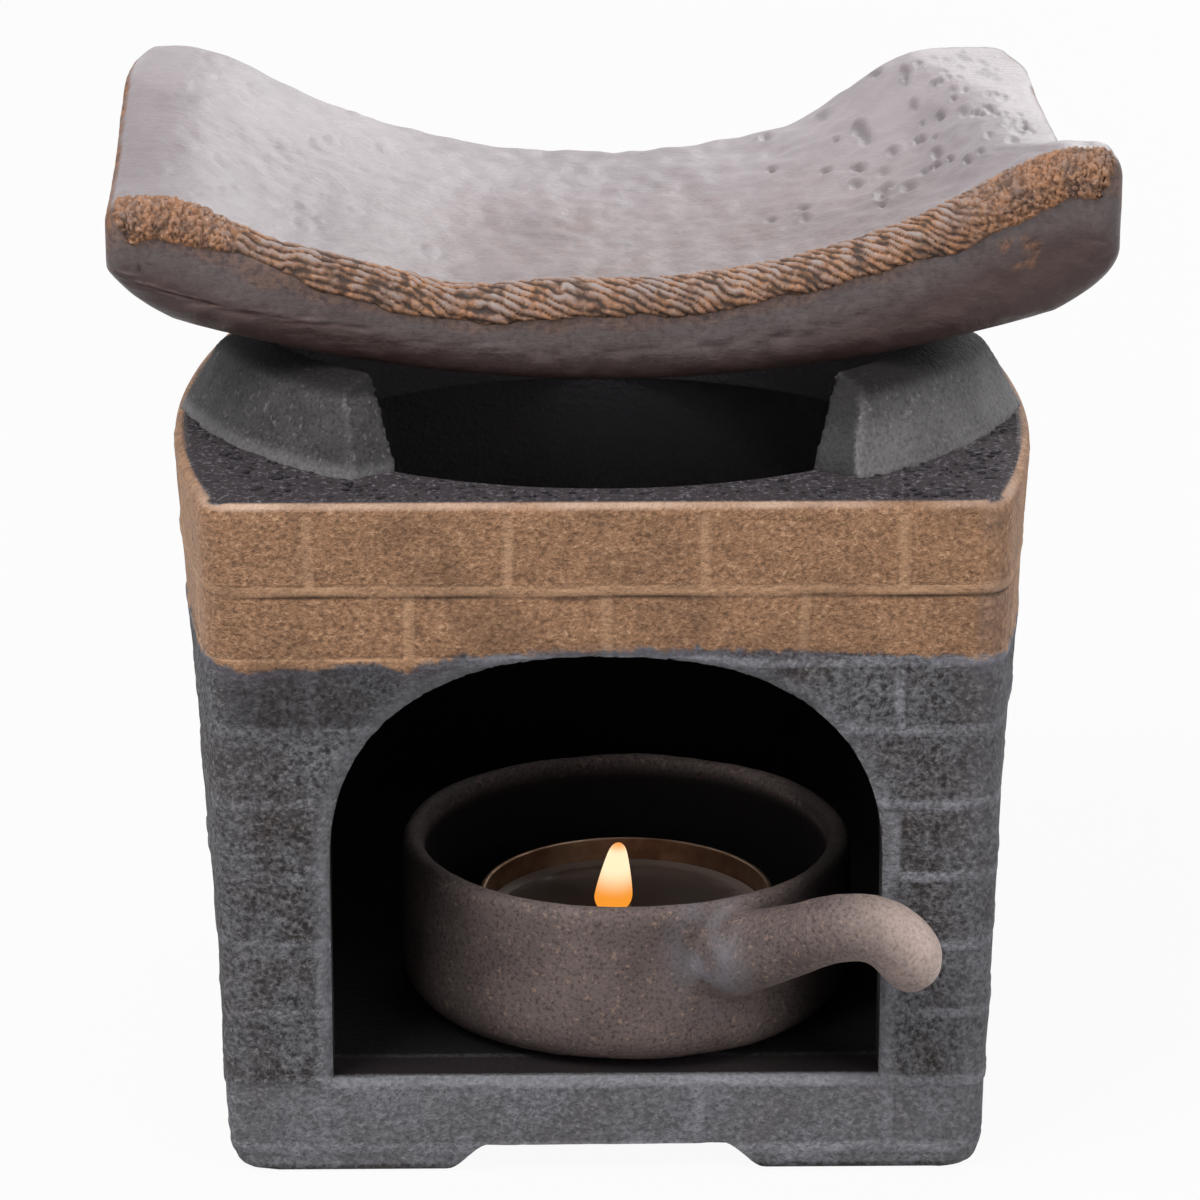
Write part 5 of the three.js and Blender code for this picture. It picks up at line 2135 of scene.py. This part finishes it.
    def build(self, finish: Material) -> None:
        """Joins the handle to the cup as smoothed clay, marks its tones and dresses it.

        Args:
            finish: The cup's material.
        """
        piece = turned("handled_cup", self.profile(), self.centre, self.steps)
        handle = self.handle()
        shape = bmesh.new()
        shape.from_mesh(piece.data)
        shape.from_mesh(handle.data)
        shape.to_mesh(piece.data)
        shape.free()
        bpy.data.objects.remove(handle)
        knead(piece, self.voxel, self.passes)
        at = places(piece)
        rough = self.swell * clay_noise(at, 9.0, 3.0) + self.grain * clay_noise(at, 1.8, 5.0)
        at += outward(piece) * rough[:, None]
        put(piece, at)
        note(piece, self.tones(at, outward(piece)))
        smooth(piece, 70.0)
        dress(piece, finish, Body.CUP, "brown_stoneware", "candle_cup", "cup_handle")


@dataclass
class Tealight:
    """The lit tealight: a pressed metal cup, wax with a molten pool, a charred wick and its flame."""

    radius: float = 19.0
    height: float = 10.6
    sheet: float = 0.35
    bead: float = 0.55
    wax_gap: float = 0.2
    wax_low: float = 1.6
    wax_depth: float = 6.2
    wick_radius: float = 0.6
    wick_stand: float = 4.6
    wick_sides: int = 14
    wick_rings: int = 16
    flame_base: float = 8.0
    flame_height: float = 9.0
    flame_lean: float = -1.3
    flame_tilt: float = 0.8
    flame_radius: float = 2.45
    flame_taper: float = 0.64
    flame_waist: float = 0.2
    flame_sides: int = 32
    flame_rings: int = 28
    steps: int = 96

    def __post_init__(self) -> None:
        """Finds the tealight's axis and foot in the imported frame."""
        self.centre = axis_of("tealight_cup")

    def build_cup(self, finish: Material) -> None:
        """Presses the cup from thin sheet with a rolled rim, and dresses it.

        Args:
            finish: The cup's material.
        """
        wall = self.radius - self.bead
        inner = wall - self.sheet
        rim = self.height - self.bead
        roll = [
            (wall + self.bead * math.sin(t), rim - self.bead * math.cos(t))
            for t in np.linspace(0.2, math.pi + 0.6, 12)
        ]
        profile = [
            (1.0, 0.0),
            (wall - 1.0, 0.0),
            (wall - 0.25, 0.3),
            (wall, 1.0),
            *roll,
            (inner, self.height - 1.2),
            (inner, 1.2),
            (inner - 0.8, self.sheet),
            (1.0, self.sheet),
        ]
        piece = turned("tealight_shell", profile, self.centre, self.steps)
        smooth(piece, 60.0)
        dress(piece, finish, Body.TEALIGHT, "tealight_aluminium", "tealight_cup")

    def build_wax(self, finish: Material) -> None:
        """Casts the wax with a raised skin at the wall and a molten pool, and dresses it.

        Args:
            finish: The wax.
        """
        outer = self.radius - self.bead - self.sheet - self.wax_gap
        top = self.wax_low + self.wax_depth
        profile = [
            (1.0, self.wax_low),
            (outer - 0.4, self.wax_low),
            (outer, self.wax_low + 0.4),
            (outer, top),
            (outer - 0.5, top - 0.1),
            (outer - 1.6, top - 0.45),
            (outer - 5.0, top - 0.6),
            (outer - 6.0, top - 0.75),
            (4.0, top - 0.75),
            (1.6, top - 0.7),
            (0.9, top - 0.45),
        ]
        piece = turned("wax_fill", profile, self.centre, self.steps)
        x, y, z = (places(piece) - self.centre).T
        pool = ease(outer - 0.6, outer - 2.2, np.hypot(x, y)) * (z > top - 1.5)
        note(piece, {"pool": pool})
        smooth(piece, 60.0)
        dress(piece, finish, Body.TEALIGHT, "paraffin_wax", "tealight_wax")

    def build_wick(self, finish: Material) -> None:
        """Stands the wick in the wax, bent a little at its charred tip, and dresses it.

        Args:
            finish: The wick's material.
        """
        unit = circle(around(self.wick_sides))
        stand = self.wax_depth + self.wick_stand
        rings = []
        for share in np.linspace(0.0, 1.0, self.wick_rings):
            lean = self.flame_lean / 2 * max(share - 0.6, 0.0) ** 2 / 0.16
            radius = self.wick_radius * (1.0 - 0.35 * max(share - 0.7, 0.0) / 0.3)
            rings.append(radius * unit + self.centre + [lean, 0.0, self.wax_low + stand * share])
        piece = skin("wick_braid", rings)
        rise = places(piece)[:, 2] - self.centre[2] - self.wax_low
        note(piece, {"burnt": ease(0.6, 0.75, rise / stand)})
        smooth(piece, 60.0)
        dress(piece, finish, Body.TEALIGHT, "cotton_wick", "wick")

    def build_flame(self, finish: Material) -> None:
        """Draws the flame as a blunt leaning drop round the wick's tip, and dresses it.

        Args:
            finish: The flame's material.
        """
        unit = circle(around(self.flame_sides))
        rings = []
        glows = []
        for share in np.linspace(0.02, 0.985, self.flame_rings):
            above = max(share - self.flame_waist, 0.0) / (1.0 - self.flame_waist)
            below = max(self.flame_waist - share, 0.0) / self.flame_waist
            blunt = math.sqrt(1.0 - above**16)
            swell = (1.0 - self.flame_taper * above**1.3) * blunt * math.sqrt(1.0 - 0.6 * below**2)
            lift = self.flame_base + self.flame_height * share
            lean = self.flame_lean + self.flame_tilt * (share - 0.65)
            rings.append(self.flame_radius * swell * unit + self.centre + [lean, 0.0, lift])
            glows.extend([share] * len(unit))
        piece = skin("candle_flame", rings)
        level = np.array([*glows, 0.0, 1.0])
        note(piece, {"glow": ease(0.22, 0.68, level) * ease(1.03, 0.86, level)})
        smooth(piece, 80.0)
        dress(piece, finish, Body.TEALIGHT, "cotton_wick")


def main() -> None:
    """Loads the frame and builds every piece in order."""
    logging.basicConfig(level=logging.INFO, format="%(message)s")
    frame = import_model()
    nodes = frame["nodes"]
    Studio().build()
    brick = BrickStoneware(
        name="charcoal_brick_stoneware", body="#6a6a6e", shade="#4f4847", dark="#292627",
        pale="#8f8d90", mottle=8.0, grain=0.75, dark_share=0.8, pale_share=0.45, roughness=0.85,
        relief=0.75, seed=1.0,
    )
    slate = HandledStoneware(
        name="slate_grey_stoneware", body="#4e4c4d", shade="#3d3b3c", dark="#272526",
        pale="#858384", mottle=6.0, grain=0.6, dark_share=0.6, pale_share=0.5, roughness=0.6,
        relief=0.22, seed=21.0, rubbed_and_highlit="#979596",
    )
    cinder = Stoneware(
        name="blue_black_stoneware", body="#242126", shade="#1b181b", dark="#100e10",
        pale="#4a474d", mottle=3.0, grain=0.5, dark_share=0.5, pale_share=0.35, roughness=0.8,
        relief=0.1, seed=27.0,
    )
    tile = RustedStoneware(
        name="purple_satin_stoneware", body="#605757", shade="#534848", dark="#372e2e",
        pale="#7d7472", mottle=16.0, grain=0.9, dark_share=0.25, pale_share=0.2, roughness=0.42,
        relief=0.13, seed=33.0,
    )
    cord = CordStoneware(
        name="rusty_cord_stoneware", body="#a27250", shade="#74594b", dark="#45302a",
        pale="#c8a68c", mottle=3.0, grain=0.45, dark_share=0.55, pale_share=0.55, roughness=0.65,
        relief=0.1, seed=41.0,
    )
    sandy = HandledStoneware(
        name="brown_sandy_stoneware", body="#6b5e5b", shade="#594e4c", dark="#312928",
        pale="#a08574", mottle=9.0, grain=0.5, dark_share=0.6, pale_share=0.5, roughness=0.65,
        relief=0.14, seed=55.0,
    )
    stove = Stove()
    stove.build(brick.make())
    stove.strew(cinder.make())
    RestLugs().build(nodes, slate.make())
    dish = TileDish()
    dish.build(tile.make())
    dish.press_cord(cord.make())
    CandleCup().build(sandy.make())
    tealight = Tealight()
    tealight.build_cup(ThinMetal("tarnished_aluminium", "#b0937c", "#6e5140", 6.0, 0.35).make())
    tealight.build_wax(Paraffin().make())
    tealight.build_wick(CottonWick().make())
    tealight.build_flame(CandleFlame().make())
    nodes["wick_sustainer"].data.materials.clear()
    tin = ThinMetal("dull_tinplate", "#a5a6a8", "#6f6c69", 3.0, 0.4)
    nodes["wick_sustainer"].data.materials.append(tin.make())
    LOG.info("wick_sustainer: keeps its CAD mesh")


if __name__ == "__main__":
    main()
